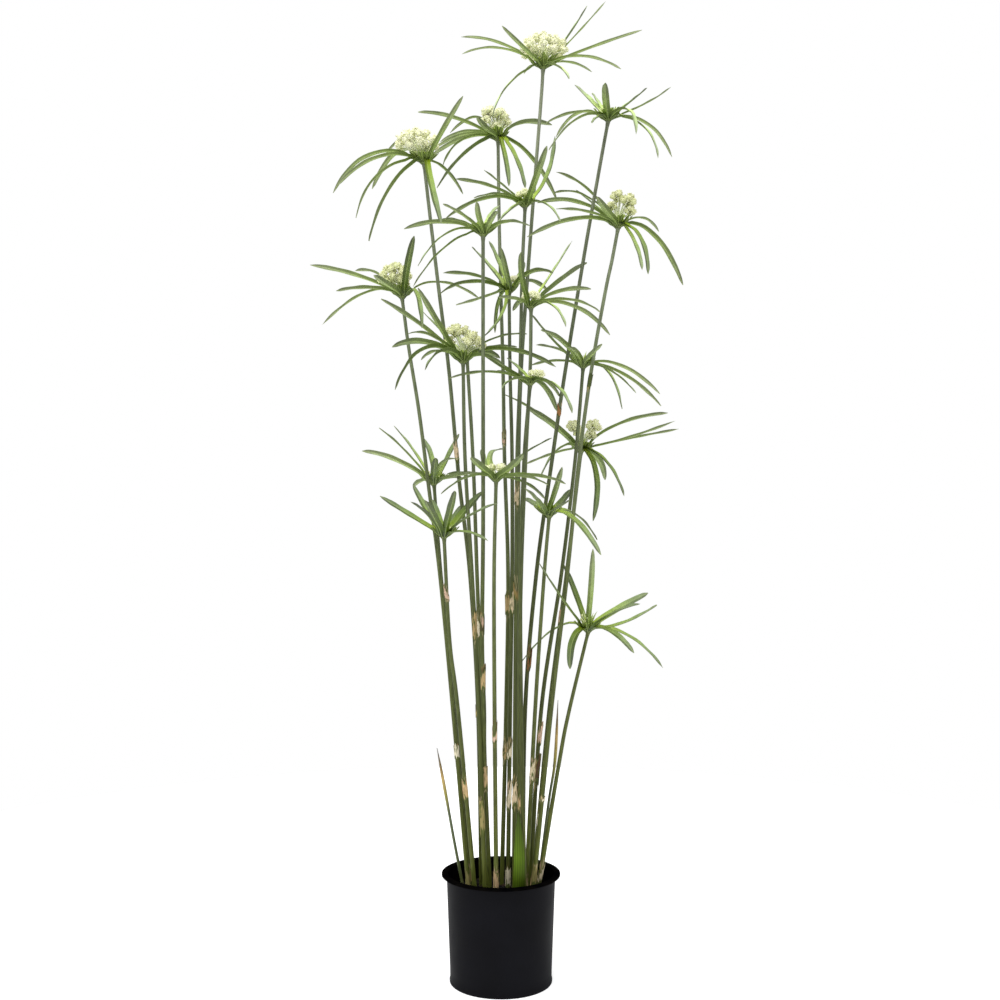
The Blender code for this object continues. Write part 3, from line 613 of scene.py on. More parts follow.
def makeSoil():
    low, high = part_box("soil")
    rng = random.Random(11)
    piece = PieceMesh()
    edge, top = high.x - soil["clear"], high.z
    rings = [levelRing(Vector((0, 0, low.z)), edge - soil["taper"], soil["sides"])]
    for level in range(soil["rings"]):
        radius = edge * (1 - level / soil["rings"]) + soil["centreHole"]
        ring = levelRing(Vector((0, 0, top - soil["sunk"])), radius, soil["sides"])
        for point in ring:
            point.z += bumpiness(point, "hollows") + bumpiness(point, "grit")
        rings.append(ring)
    piece.loft(rings, [1.0] * len(rings), shade=0.15)
    for index in range(soil["crumbs"]):
        radius = (edge - soil["clearOfEdge"]) * math.sqrt((index + 0.5) / soil["crumbs"])
        angle = index * goldenAngle + rng.uniform(-0.2, 0.2)
        place = Vector((radius * math.cos(angle), radius * math.sin(angle), top - soil["crumbsSunk"]))
        place.z += bumpiness(place, "hollows") + rng.uniform(0, soil["crumbsLift"])
        size = between(*soil["crumbSize"], rng.random() ** 2.2)          # most of them are small
        flatness = "chipFlatness" if rng.random() < soil["chipShare"] else "crumbFlatness"
        flat = rng.uniform(*soil[flatness])
        tilted = Vector((rng.uniform(-1, 1), rng.uniform(-1, 1), rng.uniform(-1, 1))).normalized()
        turn = Quaternion(tilted, rng.uniform(0, 0.7)) @ Quaternion((0, 0, 1), rng.uniform(0, anyTurn))
        addCrumb(piece, place, size, flat, turn, rng)
    makePiece("soil_crumbs", piece, [pottingMix()], ["soil"], sharp=35)


def addCrumb(piece, place, size, flat, turn, rng):
    # a broken lump, longer than it is wide
    rings, sides = [], soil["crumbSides"]
    for height, reach in soil["crumbOutline"]:
        ring = []
        for k in range(sides):
            angle = 2 * math.pi * k / sides + height
            far = size * reach * rng.uniform(*soil["crumbRoughness"])
            corner = Vector((far * math.cos(angle), far * soil["crumbWidth"] * math.sin(angle),
                             size * flat * height * 1.6))
            corner.rotate(turn)
            ring.append(place + corner)
        rings.append(ring)
    piece.loft(rings, [0.0, 0.5, 1.0], shade=rng.random() ** 1.6)


makeSoil()
print("soil filled")


# Dried sheaths left on the stems: the stem, the height of the middle, the length and the tint
straw, peach, pink, tan, olive, rust, umber, greenTint = 0.02, 0.15, 0.30, 0.45, 0.60, 0.75, 0.90, 1.0
driedSheaths = (
    (2, 0.875, 0.026, rust), (3, 0.812, 0.040, peach), (4, 0.836, 0.030, pink), (5, 0.918, 0.029, greenTint),
    (7, 0.747, 0.046, peach), (15, 0.596, 0.030, peach), (17, 0.598, 0.024, pink), (11, 0.549, 0.052, tan),
    (20, 0.545, 0.050, straw), (6, 0.556, 0.044, umber), (4, 0.573, 0.044, tan), (9, 0.578, 0.040, peach),
    (1, 0.592, 0.056, olive), (7, 0.600, 0.042, olive), (6, 0.472, 0.046, tan), (3, 0.415, 0.030, olive),
    (2, 0.492, 0.050, rust), (14, 0.552, 0.036, pink), (16, 0.392, 0.040, pink), (4, 0.348, 0.044, tan),
    (9, 0.354, 0.042, straw), (12, 0.375, 0.040, pink), (18, 0.326, 0.044, peach), (12, 0.318, 0.062, umber),
    (17, 0.304, 0.044, tan), (15, 0.292, 0.046, rust), (8, 0.354, 0.028, straw), (11, 0.262, 0.066, olive),
    (6, 0.318, 0.046, tan), (20, 0.250, 0.074, olive), (9, 0.281, 0.054, straw), (7, 0.289, 0.050, peach),
    (1, 0.276, 0.050, straw), (10, 0.286, 0.048, tan), (5, 0.283, 0.010, straw), (14, 0.246, 0.026, straw),
    (16, 0.166, 0.042, tan), (9, 0.156, 0.040, straw), (14, 0.158, 0.042, tan), (5, 0.168, 0.038, olive),
    (19, 0.168, 0.040, peach), (8, 0.160, 0.042, olive), (15, 0.158, 0.036, tan), (18, 0.150, 0.036, olive),
)

culm = {
    "sides": 14,
    "rings": 130,
    "footRadius": 0.0035,
    "topRadius": 0.0026,
    "threeSided": 0.045,         # sedge stems are a little three-sided
    "flare": 0.0010,             # the top widens into its leaves
    "flareLength": 0.010,
    "scarReach": 0.9,            # how far scars spread past a sheath, in lengths of it from its middle
    "scarring": 0.42,
    "scarFade": 1.6,             # more keeps the scarring full for longer before it fades out
    "lowScarring": 0.12,         # faint scars all over the lower half
    "palest": 0.6,               # how pale a stem with no place in the list below may be
}


# How pale single stems are, from dark at 0 to pale at 1. The others get a chance value.
paleStems = {1: 0.5, 5: 0.75, 7: 0.3, 8: 0.75, 9: 0.2, 14: 0.85, 16: 0.8, 17: 0.6, 18: 0.95, 19: 0.8, 20: 0.8}


def stemRadius(line, height):
    share = (height - line[0].z) / (line[-1].z - line[0].z)
    radius = between(culm["footRadius"], culm["topRadius"], share)
    toTop = line[-1].z - height
    return radius + culm["flare"] * max(0, 1 - toTop / culm["flareLength"]) ** 2


def stemDryness(number, height):
    dryness = culm["lowScarring"] * max(0, 1 - height / eyeHeight)
    for stem, middleHeight, length, _ in driedSheaths:
        if stem == number:
            near = 1 - abs(height - middleHeight) / (culm["scarReach"] * length)
            dryness = max(dryness, culm["scarring"] * min(1, culm["scarFade"] * near))
    return dryness


def makeStems():
    for number, line in stemLines.items():
        rng = random.Random(100 + number)
        points = smoothPath(line, evenShares(culm["rings"]))
        piece = PieceMesh()
        radii = [stemRadius(line, point.z) for point in points]
        dryness = [stemDryness(number, point.z) for point in points]
        shade = paleStems.get(number, culm["palest"] * rng.random())
        addTube(piece, points, radii, culm["sides"], shade, lobes=3, lobing=culm["threeSided"],
                dryness=dryness)
        makePiece(f"culm_{number:02d}", piece, [stemMaterial], [f"stem_{number:02d}"])


makeStems()
print("stems drawn")

sheath = {
    "sides": 18,
    "levels": 9,                 # rings from its foot to its torn edge
    "clear": 0.00015,            # air between it and the stem
    "swell": 0.0003,             # how far its middle stands off
    "thickness": 0.0002,
    "tear": 0.5,                 # the most of its length that is torn out of its upper edge
    "jag": 0.24,                 # how far the points of a torn edge differ
    "lip": 0.0014,               # how far the longest strip curls out from the stem
}


def stemPoint(line, height):
    # where a stem's middle line is at a height
    for low, high in zip(line, line[1:]):
        if height <= high.z:
            return low.lerp(high, (height - low.z) / (high.z - low.z))
    return line[-1].copy()


def addSheath(piece, line, height, length, tint, rng):
    sides, turn = sheath["sides"], rng.uniform(0, 2 * math.pi)
    tears, feet, curls = [], [], []
    for k in range(sides):
        angle = 2 * math.pi * k / sides
        lean = 0.5 + 0.5 * math.cos(angle - turn)          # one long strip, opposite a deep tear
        tears.append(length * (sheath["tear"] * lean ** 1.5 + sheath["jag"] * rng.random()))
        feet.append(length * sheath["jag"] * rng.random())
        curls.append(sheath["lip"] * (1 - lean) ** 2)
    rings, rise = [], evenShares(sheath["levels"])
    for inner in (False, True):
        for share in rise[::-1] if inner else rise:
            ring = []
            for k in range(sides):
                angle = 2 * math.pi * k / sides
                low = height - length / 2 + feet[k]
                high = height + length / 2 - tears[k]
                place = stemPoint(line, between(low, high, share))
                stand = sheath["clear"] + sheath["swell"] * math.sin(math.pi * min(1, share * 0.75 + 0.1))
                stand += curls[k] * share ** 3
                reach = stemRadius(line, place.z) + stand + (0 if inner else sheath["thickness"])
                ring.append(place + reach * outward(angle))
            rings.append(ring)
    piece.loft(rings, rise + rise[::-1], shade=min(1, max(0, tint + rng.uniform(-0.05, 0.05))), loop=True)


def makeSheaths():
    rng = random.Random(23)
    piece = PieceMesh()
    for number, height, length, tint in driedSheaths:
        addSheath(piece, stemLines[number], height, length, tint, rng)
    makePiece("dried_sheaths", piece, [sheathMaterial])


makeSheaths()
print("sheaths wrapped:", len(driedSheaths))


leaf = {
    "rings": 27,
    "acrossStops": (1.0, 0.68, 0.34, 0.0, -0.34, -0.68, -1.0),
    "outline": ((0.0, 0.66), (0.04, 0.86), (0.12, 0.98), (0.3, 1.0), (0.62, 0.99), (0.82, 0.86),
                (0.94, 0.58), (1.0, 0.12)),
    "fold": ((0.0, 26), (0.1, 30), (0.35, 28), (1.0, 16)),     # degrees that each half stands up
    "crowding": 1.15,            # how much closer its rings stand near its base
    "edgeThickness": 0.00032,
    "ribThickness": 0.00085,
    "thinnedUnder": 0.002,       # a leaf gets thinner where its half width is less than this
    "keel": 0.0004,
    "keelReach": 0.3,            # how far the keel spreads from the midrib, as a share of the half width
    "edgeCurl": 1.2,             # 1 folds each half flat, and more curls its edge up
    "startOut": 0.0025,          # from the stem's middle
    "startRise": (-0.0008, 0.0012),
    "narrowest": 0.0050,         # thin leaves face up the most, and wide ones turn to the front
    "widest": 0.0086,
    "turnBase": (14, 42),        # degrees, for the narrowest and the widest
    "turnTip": (50, 78),
    "wave": 0.0006,              # how far the edges ripple
    "ripples": 22,               # radians of ripple from its base to its tip
    "broadening": ((0.7, 1.38), (1.1, 1.30), (1.33, 1.18), (1.39, 0.82)),     # by height of its whorl
    "cupSlope": 0.46,            # rise by run of the shallow cup that its first part follows
    "cupReach": 0.020,           # and at most this share of the way to its first bend
    "cupShare": 0.6,
    "cupSink": 0.001,            # its foot lies this far under the cup
    "cupPull": 0.75,             # how much it keeps to the cup, from not at all at 0 to fully at 1
    "hangingPull": 0.3,          # and for a leaf that hangs from the start
    "toneSpread": 0.09,
    "ageingAndPaintedShade": 0.2,               # how much darker a leaf is when it hangs straight down: partly the darker colour of old hanging leaves, partly painted shade
}
# How pale the leaves of each whorl are, from 0 to 1: partly age, partly painted light and shade, pale for the
# brightly lit top whorls and dark for crowded, shaded ones
whorlTones = {1: 1.0, 2: 0.9, 3: 0.84, 4: 0.78, 5: 0.74, 6: 0.74, 7: 0.74, 8: 0.84, 9: 0.58, 10: 0.8,
              11: 0.42, 12: 0.75, 13: 0.54, 14: 0.68, 15: 0.66, 16: 0.6, 17: 0.2, 18: 0.48, 19: 0.58,
              20: 0.57}
# Leaves unlike the others in their whorl: how broad each is beside them, and its own tone, which paints in
# that leaf's light and shade: low for leaves in shade, high for lit ones
oddLeaves = {
    (1, 0): (0.75, 1.0), (1, 1): (1.4, 1.0), (1, 3): (1.9, 1.0), (1, 5): (0.85, 1.0), (1, 7): (0.8, 1.0),
    (1, 8): (1.8, 0.7), (1, 9): (0.75, 1.0),
    (2, 0): (0.9, 1.0), (2, 1): (1.0, 0.3), (2, 2): (1.15, 0.5), (2, 5): (0.72, 1.0), (2, 7): (1.35, 0.45),
    (2, 9): (1.8, 0.8), (2, 10): (0.7, 1.0), (2, 11): (0.65, 1.0),
    (3, 0): (0.9, 0.85), (3, 1): (0.9, 1.0), (3, 2): (1.2, 0.8), (3, 3): (1.1, 0.12), (3, 8): (0.85, 0.85),
    (4, 1): (1.25, 0.65), (4, 3): (1.05, 0.0), (4, 4): (1.25, 0.3), (4, 6): (1.2, 0.7), (4, 8): (0.8, 0.85),
    (4, 10): (0.75, 0.9),
    (5, 3): (1.05, 0.05), (5, 4): (0.95, 0.6), (5, 6): (0.9, 1.0),
    (7, 2): (1.4, 0.75), (7, 4): (1.25, 0.75), (7, 5): (1.3, 0.35),
    (8, 0): (0.72, 1.0), (8, 3): (1.0, 0.2), (8, 4): (1.05, 0.25), (8, 5): (0.9, 1.0),
    (9, 7): (1.5, 0.85), (9, 8): (1.25, 0.55), (9, 9): (1.1, 0.95),
    (10, 1): (1.0, 0.35), (10, 2): (1.25, 0.8), (10, 3): (0.8, 1.0), (10, 5): (0.85, 1.0),
    (10, 6): (1.6, 1.0),
    (11, 0): (1.15, 0.6), (11, 8): (1.2, 0.55),
    (12, 6): (0.95, 0.95), (12, 7): (0.75, 0.95), (13, 6): (1.3, 0.5),
    (14, 2): (0.9, 0.12), (14, 3): (1.2, 0.22), (15, 0): (0.8, 0.95), (15, 1): (1.0, 0.22),
    (15, 5): (1.15, 0.2), (15, 6): (1.1, 0.28), (16, 5): (1.2, 0.3),
    (17, 0): (1.25, 0.0), (18, 2): (1.0, 0.15), (18, 5): (1.0, 0.08),
    (19, 1): (1.0, 0.0), (19, 2): (0.8, 0.85), (19, 3): (1.2, 0.18), (19, 8): (1.0, 0.05),
}


def leafTurns(knots, width):
    # how far a leaf turns about its length at its base and at its tip, towards the side it is seen from
    run = knots[-1] - knots[0]
    fullness = (width - leaf["narrowest"]) / (leaf["widest"] - leaf["narrowest"])
    sideways = run.x / run.length * (-1 if knots[0].z > eyeHeight else 1)
    return [math.radians(between(*leaf[stage], fullness)) * sideways for stage in ("turnBase", "turnTip")]


def alongCup(top, knots):
    # a leaf keeps to the shallow cup of its whorl for a while before it bends away
    near, far = knots[0] - top, knots[1] - top
    nearOut, farOut = near.xy.length, far.xy.length
    reach = min(leaf["cupReach"], between(nearOut, farOut, leaf["cupShare"]))
    place = near.lerp(far, (reach - nearOut) / (farOut - nearOut))
    pull = leaf["cupPull"] if far.z > 0 else leaf["hangingPull"]
    near.z = between(near.z, nearOut * leaf["cupSlope"] - leaf["cupSink"], pull)
    place.z = between(place.z, reach * leaf["cupSlope"], pull)
    return [top + near, top + place] + knots[1:]


def leafTone(knots, whorlTone):
    run = knots[-1] - knots[0]
    # a leaf that hangs down is darker: partly age, partly painted shade
    return whorlTone - leaf["ageingAndPaintedShade"] * max(0, -run.z / run.length)


def addLeaf(piece, knots, width, tone, rng, turns=(0, 0), rings=leaf["rings"], colourReach=1.0,
            underFacing=0.0):
    shares = [math.sin(0.5 * math.pi * k / (rings - 1)) ** leaf["crowding"] for k in range(rings)]
    points = smoothPath(knots, shares)
    run = knots[-1] - knots[0]
    left = Vector((-run.y, run.x, 0)).normalized()
    # across is signed so that this half takes the painted shade
    upperHalf = -1 if run.x > 0 else 1             # the half that is up once the leaf has turned
    phase = rng.uniform(0, anyTurn)
    sections, across = [], []
    for point, heading, share in zip(points, headings(points), shares):
        side = (left - left.dot(heading) * heading).normalized()
        side.rotate(Quaternion(heading, between(*turns, share)))
        up = heading.cross(side)
        half = width * readStops(leaf["outline"], share) / 2
        fold = math.radians(readStops(leaf["fold"], share))
        top, under, reaches = [], [], []
        for u in leaf["acrossStops"]:
            ripple = leaf["wave"] * math.sin(phase + leaf["ripples"] * share) * u * abs(u) * share
            lift = half * math.sin(fold) * abs(u) ** leaf["edgeCurl"] + ripple
            place = point + side * (u * half * math.cos(fold)) + up * lift
            thick = between(leaf["ribThickness"], leaf["edgeThickness"], abs(u))
            thick *= min(1, half / leaf["thinnedUnder"])
            keel = leaf["keel"] * max(0, 1 - abs(u) / leaf["keelReach"]) * min(1, half / 0.003)
            top.append(place + up * thick / 2)
            under.append(place - up * (thick / 2 + keel))
            reaches.append(u * half * upperHalf)
        sections.append(top + under[::-1])
        across.extend(reaches + reaches[::-1])
    count = len(leaf["acrossStops"])
    shade = min(1, max(0, tone + rng.uniform(-1, 1) * leaf["toneSpread"]))
    piece.loft(sections, [share * colourReach for share in shares], shade, across,
               [1.0] * count + [underFacing] * count)


# Short broad bracts close the funnel between the long leaves: a low ring, dark with painted shade on its
# undersides, and a steep one in it, pale with painted light
lowBracts = {
    "count": 15,
    "rings": 8,
    "length": (0.018, 0.025),
    "width": (0.0056, 0.0072),
    "slope": (29, 38),           # degrees above level
    "droop": -0.0035,            # how far its tip hangs below that line, or stands up from it
    "colourReach": 0.13,         # it has the colours of the first part of a whole leaf
    "underFacing": 0.12,         # how far its thin underside takes the upper side's lighter green instead of the darker green of painted shade
}
steepBracts = {
    "count": 9,
    "rings": 8,
    "length": (0.015, 0.022),
    "width": (0.0040, 0.0056),
    "slope": (54, 76),
    "droop": -0.0010,
    "colourReach": 0.20,
    "underFacing": 1.0,
}


# Under small flower heads the bracts are shorter, so that the flowers show
bractSizes = {7: 0.75, 9: 0.7, 10: 0.5, 13: 0.55, 16: 0.5}


def addBracts(piece, top, kind, size, tone, rng):
    for index in range(kind["count"]):
        out = outward(2 * math.pi * (index + rng.uniform(-0.3, 0.3)) / kind["count"])
        slope = math.radians(rng.uniform(*kind["slope"]))
        aim = out * math.cos(slope) + Vector((0, 0, math.sin(slope)))
        length = rng.uniform(*kind["length"]) * size
        start = top + out * leaf["startOut"] + Vector((0, 0, leaf["startRise"][1]))
        tip = start + aim * length - Vector((0, 0, kind["droop"]))
        addLeaf(piece, [start, start + aim * length / 2, tip], rng.uniform(*kind["width"]), tone, rng,
                rings=kind["rings"], colourReach=kind["colourReach"], underFacing=kind["underFacing"])


# The swelling that the leaves stand on, in the darkest underside green of painted shade, as (height, radius)
# from the top of the stem
swelling = ((-0.0040, 0.0026), (-0.0020, 0.0029), (0.0, 0.0036), (0.0022, 0.0056), (0.0040, 0.0050))


def addSwelling(piece, top):
    sides = culm["sides"]
    rings = [levelRing(top + Vector((0, 0, height)), radius, sides) for height, radius in swelling]
    piece.loft(rings, [0.0] * len(rings), shade=0.4, facing=[0.0] * sides)


def makeLeaves():
    count = 0
    for number in headNumbers:
        rng = random.Random(200 + number)
        piece = PieceMesh()
        top = stemLines[number][-1]
        broader, tone = readStops(leaf["broadening"], top.z), whorlTones[number]
        for index, (knots, width) in enumerate(leafLines(f"leaf_whorl_{number:02d}")):
            out = Vector((knots[0].x - top.x, knots[0].y - top.y, 0)).normalized()
            start = top + out * leaf["startOut"] + Vector((0, 0, leaf["startRise"][index % 2]))
            broadness, ownTone = oddLeaves.get((number, index), (1.0, leafTone(knots, tone)))
            addLeaf(piece, [start] + alongCup(top, knots), width * broader * broadness, ownTone, rng,
                    leafTurns(knots, width))
            count += 1
        bractSize = bractSizes.get(number, 1.0)
        addBracts(piece, top, lowBracts, bractSize, tone, rng)
        # the steep ring is paler than its whorl: painted light
        addBracts(piece, top, steepBracts, bractSize, between(tone, 1, 0.5), rng)
        addSwelling(piece, top)
        makePiece(f"leaves_{number:02d}", piece, [leafMaterial], [f"leaf_whorl_{number:02d}"])
    print("leaves drawn:", count)


makeLeaves()


spikelet = {
    "length": (0.0045, 0.0066),
    "width": (0.0029, 0.0040),
    "flatness": 0.6,
    "outline": ((0.0, 0.45), (0.38, 1.0), (0.78, 0.7)),
}


def addSpikelet(piece, base, heading, length, width, shade, rng):
    # flat and keeled, so its section is a diamond
    side, up = crossways(heading)
    side.rotate(Quaternion(heading, rng.uniform(0, math.pi)))
    up = heading.cross(side) * spikelet["flatness"]
    rings = []
    for share, reach in spikelet["outline"]:
        centre, half = base + heading * length * share, width / 2 * reach
        rings.append([centre + side * half, centre + up * half, centre - side * half, centre - up * half])
    piece.loft(rings, [share for share, _ in spikelet["outline"]], shade, tip=base + heading * length)


def scatter(heading, spread, rng):
    # a direction up to spread degrees away from a heading
    side, up = crossways(heading)
    angle = rng.uniform(0, 2 * math.pi)
    away = math.radians(spread) * math.sqrt(rng.random())
    return math.cos(away) * heading + math.sin(away) * (math.cos(angle) * side + math.sin(angle) * up)


bloom = {
    "puffReach": 0.0095,         # from the middle of a puff to the tips of its spikelets
    "puffSpacing": 0.0150,
    "fewestPuffs": 6,            # in a head
    "fewestInLobe": 3,
    "middle": 0.56,              # radius of a puff's dense middle, as a share of its reach
    "middleOutline": ((-0.85, 0.5), (-0.35, 0.94), (0.3, 0.95), (0.8, 0.55)),     # (height, radius), shares
    "raylets": (14, 17),         # in a puff
    "rayletSpread": 118,         # degrees from the ray
    "spikelets": (3, 4),         # on a raylet
    "spikeletSpread": 75,        # degrees from the raylet
    "rayRadius": 0.0009,
    "rayletRadius": 0.0003,
    "rayTaper": (1.25, 0.8),
    "raySteps": 7,
    "rayBend": (0.45, 0.16),     # where along it a ray bends up, and how far, in lengths of it
    "neck": 0.55,                # how far before the middle of its puff a ray ends, in reaches
    "packing": 1.2,              # a higher value sets more puffs on a dome
    "domeDepth": 1.4,            # how far down from its top they go, in heights of it
    "puffPlaces": (0.85, 1.0),   # how far out they stand, as shares of its radius
    "puffSizes": (0.82, 1.0),
    "inHollow": 4,               # one puff stands in the hollow under the dome for so many on it
    "rayletLengths": (0.78, 1.0),
    "spikeletLengths": (0.8, 1.1),
    "spikeletStart": 0.3,        # how far a spikelet starts down its raylet, in lengths of it
    "footRise": 0.004,           # the rays' foot stands this far over the stem's top
    "lobeDrop": 0.024,           # the lobes' middle lies this far under the head's top
    "widestAt": 0.42,            # the share of a head's height where it is widest
    "fullness": 1.12,            # how far its half width is drawn past the frame's plain dome
    "broadHeads": {1: 1.42, 3: 1.42, 7: 1.35, 9: 1.4, 10: 1.6, 13: 1.45, 16: 1.5},
    "tone": (0.35, 0.85),        # fresh cream
}
# Heads with other tones, from olive at 0 through cream to pink at 1
bloomTones = {1: (0.3, 0.8), 3: (0.25, 0.75), 4: (0.2, 0.7), 5: (0.0, 0.45), 7: (0.2, 0.6), 8: (0.0, 0.55),
              9: (0.4, 0.9), 10: (0.2, 0.8), 11: (0.0, 0.65), 13: (0.1, 0.7), 14: (0.05, 0.65),
              16: (0.1, 0.7)}
# Heads whose flowers stand in lobes: (across, height, half size) of each in mm from the head's middle
bloomLobes = {
    4: ((-18, 9, 17), (0, 7, 18), (-22, -3, 13), (9, -3, 14), (-6, -12, 13)),
    11: ((-16, 12, 18), (9, -2, 20), (-2, 12, 13), (-25, -4, 14), (22, -9, 12)),
    14: ((-17, 1, 17), (16, 2, 18), (-9, -10, 13), (12, -12, 14)),
    5: ((-7, 9, 16), (10, 1, 17), (-15, -5, 13), (13, -14, 13)),
}


def addRay(piece, foot, end, radius, rng, steps=bloom["raySteps"], sides=5):
    place, rise = bloom["rayBend"]
    bend = foot.lerp(end, place) + Vector((0, 0, (end - foot).length * rise))
    points = smoothPath([foot, bend, end], evenShares(steps))
    radii = [radius * between(*bloom["rayTaper"], share) for share in evenShares(steps)]
    addTube(piece, points, radii, sides, rng.random(), material=1)
    return (points[-1] - points[-2]).normalized()


def addPuffMiddle(piece, centre, heading, radius, tone, rng):
    # the feet of a puff's spikelets, packed so close that they make one lumpy ball
    side, up = crossways(heading)
    rings = []
    for height, across in bloom["middleOutline"]:
        ring = roundRing(centre + heading * height * radius, side, up, across * radius, 7)
        rings.append([point + (point - centre) * rng.uniform(-0.12, 0.12) for point in ring])
    piece.loft(rings, [0.0, 0.1, 0.3, 0.5], between(*tone, 0.4))


def addPuff(piece, foot, centre, reach, tone, rng):
    # one ray, and the ball of raylets with their spikelets that it carries
    size = reach / bloom["puffReach"]
    neck = centre - (centre - foot).normalized() * reach * bloom["neck"]
    heading = addRay(piece, foot, neck, bloom["rayRadius"] * size, rng)
    addPuffMiddle(piece, centre, heading, reach * bloom["middle"], tone, rng)
    for _ in range(rng.randint(*bloom["raylets"])):
        aim = scatter(heading, bloom["rayletSpread"], rng)
        length = rng.uniform(*spikelet["length"]) * size
        end = centre + aim * (reach - length * 0.8) * rng.uniform(*bloom["rayletLengths"])
        addRay(piece, neck, end, bloom["rayletRadius"], rng, steps=4, sides=3)
        for _ in range(rng.randint(*bloom["spikelets"])):
            width = rng.uniform(*spikelet["width"]) * size
            start = end - aim * length * bloom["spikeletStart"]
            addSpikelet(piece, start, scatter(aim, bloom["spikeletSpread"], rng),
                        length * rng.uniform(*bloom["spikeletLengths"]), width, rng.uniform(*tone), rng)


def addDome(piece, foot, centre, radius, height, reach, tone, rng, fewest):
    # puffs spread over a dome, the first of them at its top
    area = bloom["packing"] * 2 * math.pi * (radius + reach / 2) * (height + reach / 2)
    puffs = max(fewest, round(area / (bloom["puffSpacing"] * reach / bloom["puffReach"]) ** 2))
    for index in range(puffs):
        angle = index * goldenAngle + rng.uniform(-0.25, 0.25)
        rise = 1 - bloom["domeDepth"] * (index + 0.3) / puffs
        out = math.sqrt(max(0, 1 - rise * rise)) * radius * rng.uniform(*bloom["puffPlaces"])
        place = centre + Vector((out * math.cos(angle), out * math.sin(angle), rise * height))
        addPuff(piece, foot, place, reach * rng.uniform(*bloom["puffSizes"]), tone, rng)
    for index in range(puffs // bloom["inHollow"]):
        place = centre + outward(index * goldenAngle * 1.7) * radius * 0.45
        place.z -= height * 0.1
        addPuff(piece, foot, place, reach * 0.9, tone, rng)


def makeBlooms():
    for number in headNumbers:
        name = f"flower_head_{number:02d}"
        if name not in nodes:
            continue
        rng = random.Random(300 + number)
        low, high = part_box(name)
        foot = stemLines[number][-1] + Vector((0, 0, bloom["footRise"]))
        tone = bloomTones.get(number, bloom["tone"])
        piece = PieceMesh()
        if number in bloomLobes:
            centre = Vector(((low.x + high.x) / 2, (low.y + high.y) / 2, high.z - bloom["lobeDrop"]))
            for across, rise, half in bloomLobes[number]:
                aside = across / (3 * millimetres) * (-1) ** number       # to the front or the back
                place = centre + Vector((across / millimetres, aside, rise / millimetres))
                reach = min(bloom["puffReach"], half / (2 * millimetres))
                radius = half / millimetres - reach
                addDome(piece, foot, place, radius, radius, reach, tone, rng, bloom["fewestInLobe"])
        else:
            half = (high.x - low.x) / 2 * bloom["broadHeads"].get(number, bloom["fullness"])
            reach = min(bloom["puffReach"], half * 0.5)
            widest = between(low.z, high.z, bloom["widestAt"])
            centre = Vector(((low.x + high.x) / 2, (low.y + high.y) / 2, widest))
            addDome(piece, foot, centre, half - reach, high.z - reach - widest, reach, tone, rng,
                    bloom["fewestPuffs"])
        makePiece(f"bloom_{number:02d}", piece, [spikeletMaterial, rayMaterial], [name], sharp=120)
        print("bloom", number, len(piece.faces), "faces")


makeBlooms()

tuft = {
    "rays": 9,
    "rayLength": (0.008, 0.018),
    "rayRadius": 0.0004,
    "spikelets": 4,
    "spikeletSize": (0.75, 0.7),         # length and width beside an open one
    "spikeletSpread": 50,
    "bracts": 9,
    "bractLength": (0.012, 0.026),
    "bractWidth": 0.0034,
    "bractSteps": 7,
    "spread": 44,
    "footRise": 0.003,
    "tone": (0.0, 0.3),
}
tuftSizes = {2: 1.2, 6: 0.9, 12: 1.0, 15: 1.2, 17: 1.0, 18: 0.8, 19: 1.4, 20: 0.8}


def makeTufts():
    # whorls that don't flower yet hold a small green tuft of bracts and closed spikelets
    for number, size in tuftSizes.items():
        rng = random.Random(400 + number)
        foot = stemLines[number][-1] + Vector((0, 0, tuft["footRise"]))
        piece = PieceMesh()
        for _ in range(tuft["rays"]):
            aim = scatter(Vector((0, 0, 1)), tuft["spread"], rng)
            end = foot + aim * rng.uniform(*tuft["rayLength"]) * size
            heading = addRay(piece, foot, end, tuft["rayRadius"], rng)
            for _ in range(tuft["spikelets"]):
                length = rng.uniform(*spikelet["length"]) * tuft["spikeletSize"][0]
                width = rng.uniform(*spikelet["width"]) * tuft["spikeletSize"][1]
                addSpikelet(piece, end - heading * 0.001, scatter(heading, tuft["spikeletSpread"], rng),
                            length, width, rng.uniform(*tuft["tone"]), rng)
        for _ in range(tuft["bracts"]):
            aim = scatter(Vector((0, 0, 1)), tuft["spread"], rng)
            length = rng.uniform(*tuft["bractLength"]) * size
            out = Vector((aim.x, aim.y, 0))          # each bends out towards its tip
            addBract(piece, foot, foot + aim * length * 0.5 - out * 0.001,
                     foot + aim * length + out * 0.004, rng)
        makePiece(f"young_tuft_{number:02d}", piece, [spikeletMaterial, rayMaterial])


def addBract(piece, foot, bend, end, rng):
    shares = evenShares(tuft["bractSteps"])
    points = smoothPath([foot, bend, end], shares)
    rings = []
    for point, heading, share in zip(points, headings(points), shares):
        side, up = crossways(heading)
        half = tuft["bractWidth"] / 2 * math.sin(math.pi * between(0.22, 0.97, share))
        edge, back = side * half, up * half * 0.35
        rings.append([point + edge, point + back, point - edge, point - back])
    piece.loft(rings, [0.2 * share for share in shares], rng.random(), material=1)


makeTufts()
print("tufts set")


shoot = {
    "rings": 40,
    "sides": 12,
    "outline": ((0.0, 0.0027), (0.12, 0.0023), (0.55, 0.0021), (0.72, 0.0025), (0.84, 0.0022), (0.94, 0.0010),
                (1.0, 0.0004)),
}


def makeShoot(name, node):
    shares = evenShares(shoot["rings"])
    points = smoothPath(stemLine(node), shares)
    radii = [readStops(shoot["outline"], share) for share in shares]
    piece = PieceMesh()
    addTube(piece, points, radii, shoot["sides"])
    makePiece(name, piece, [shootMaterial], [node])


shootMaterial = freshShootSkin()
makeShoot("young_shoot_left", "shoot_left")
makeShoot("young_shoot_right", "shoot_right")
print("shoots drawn")

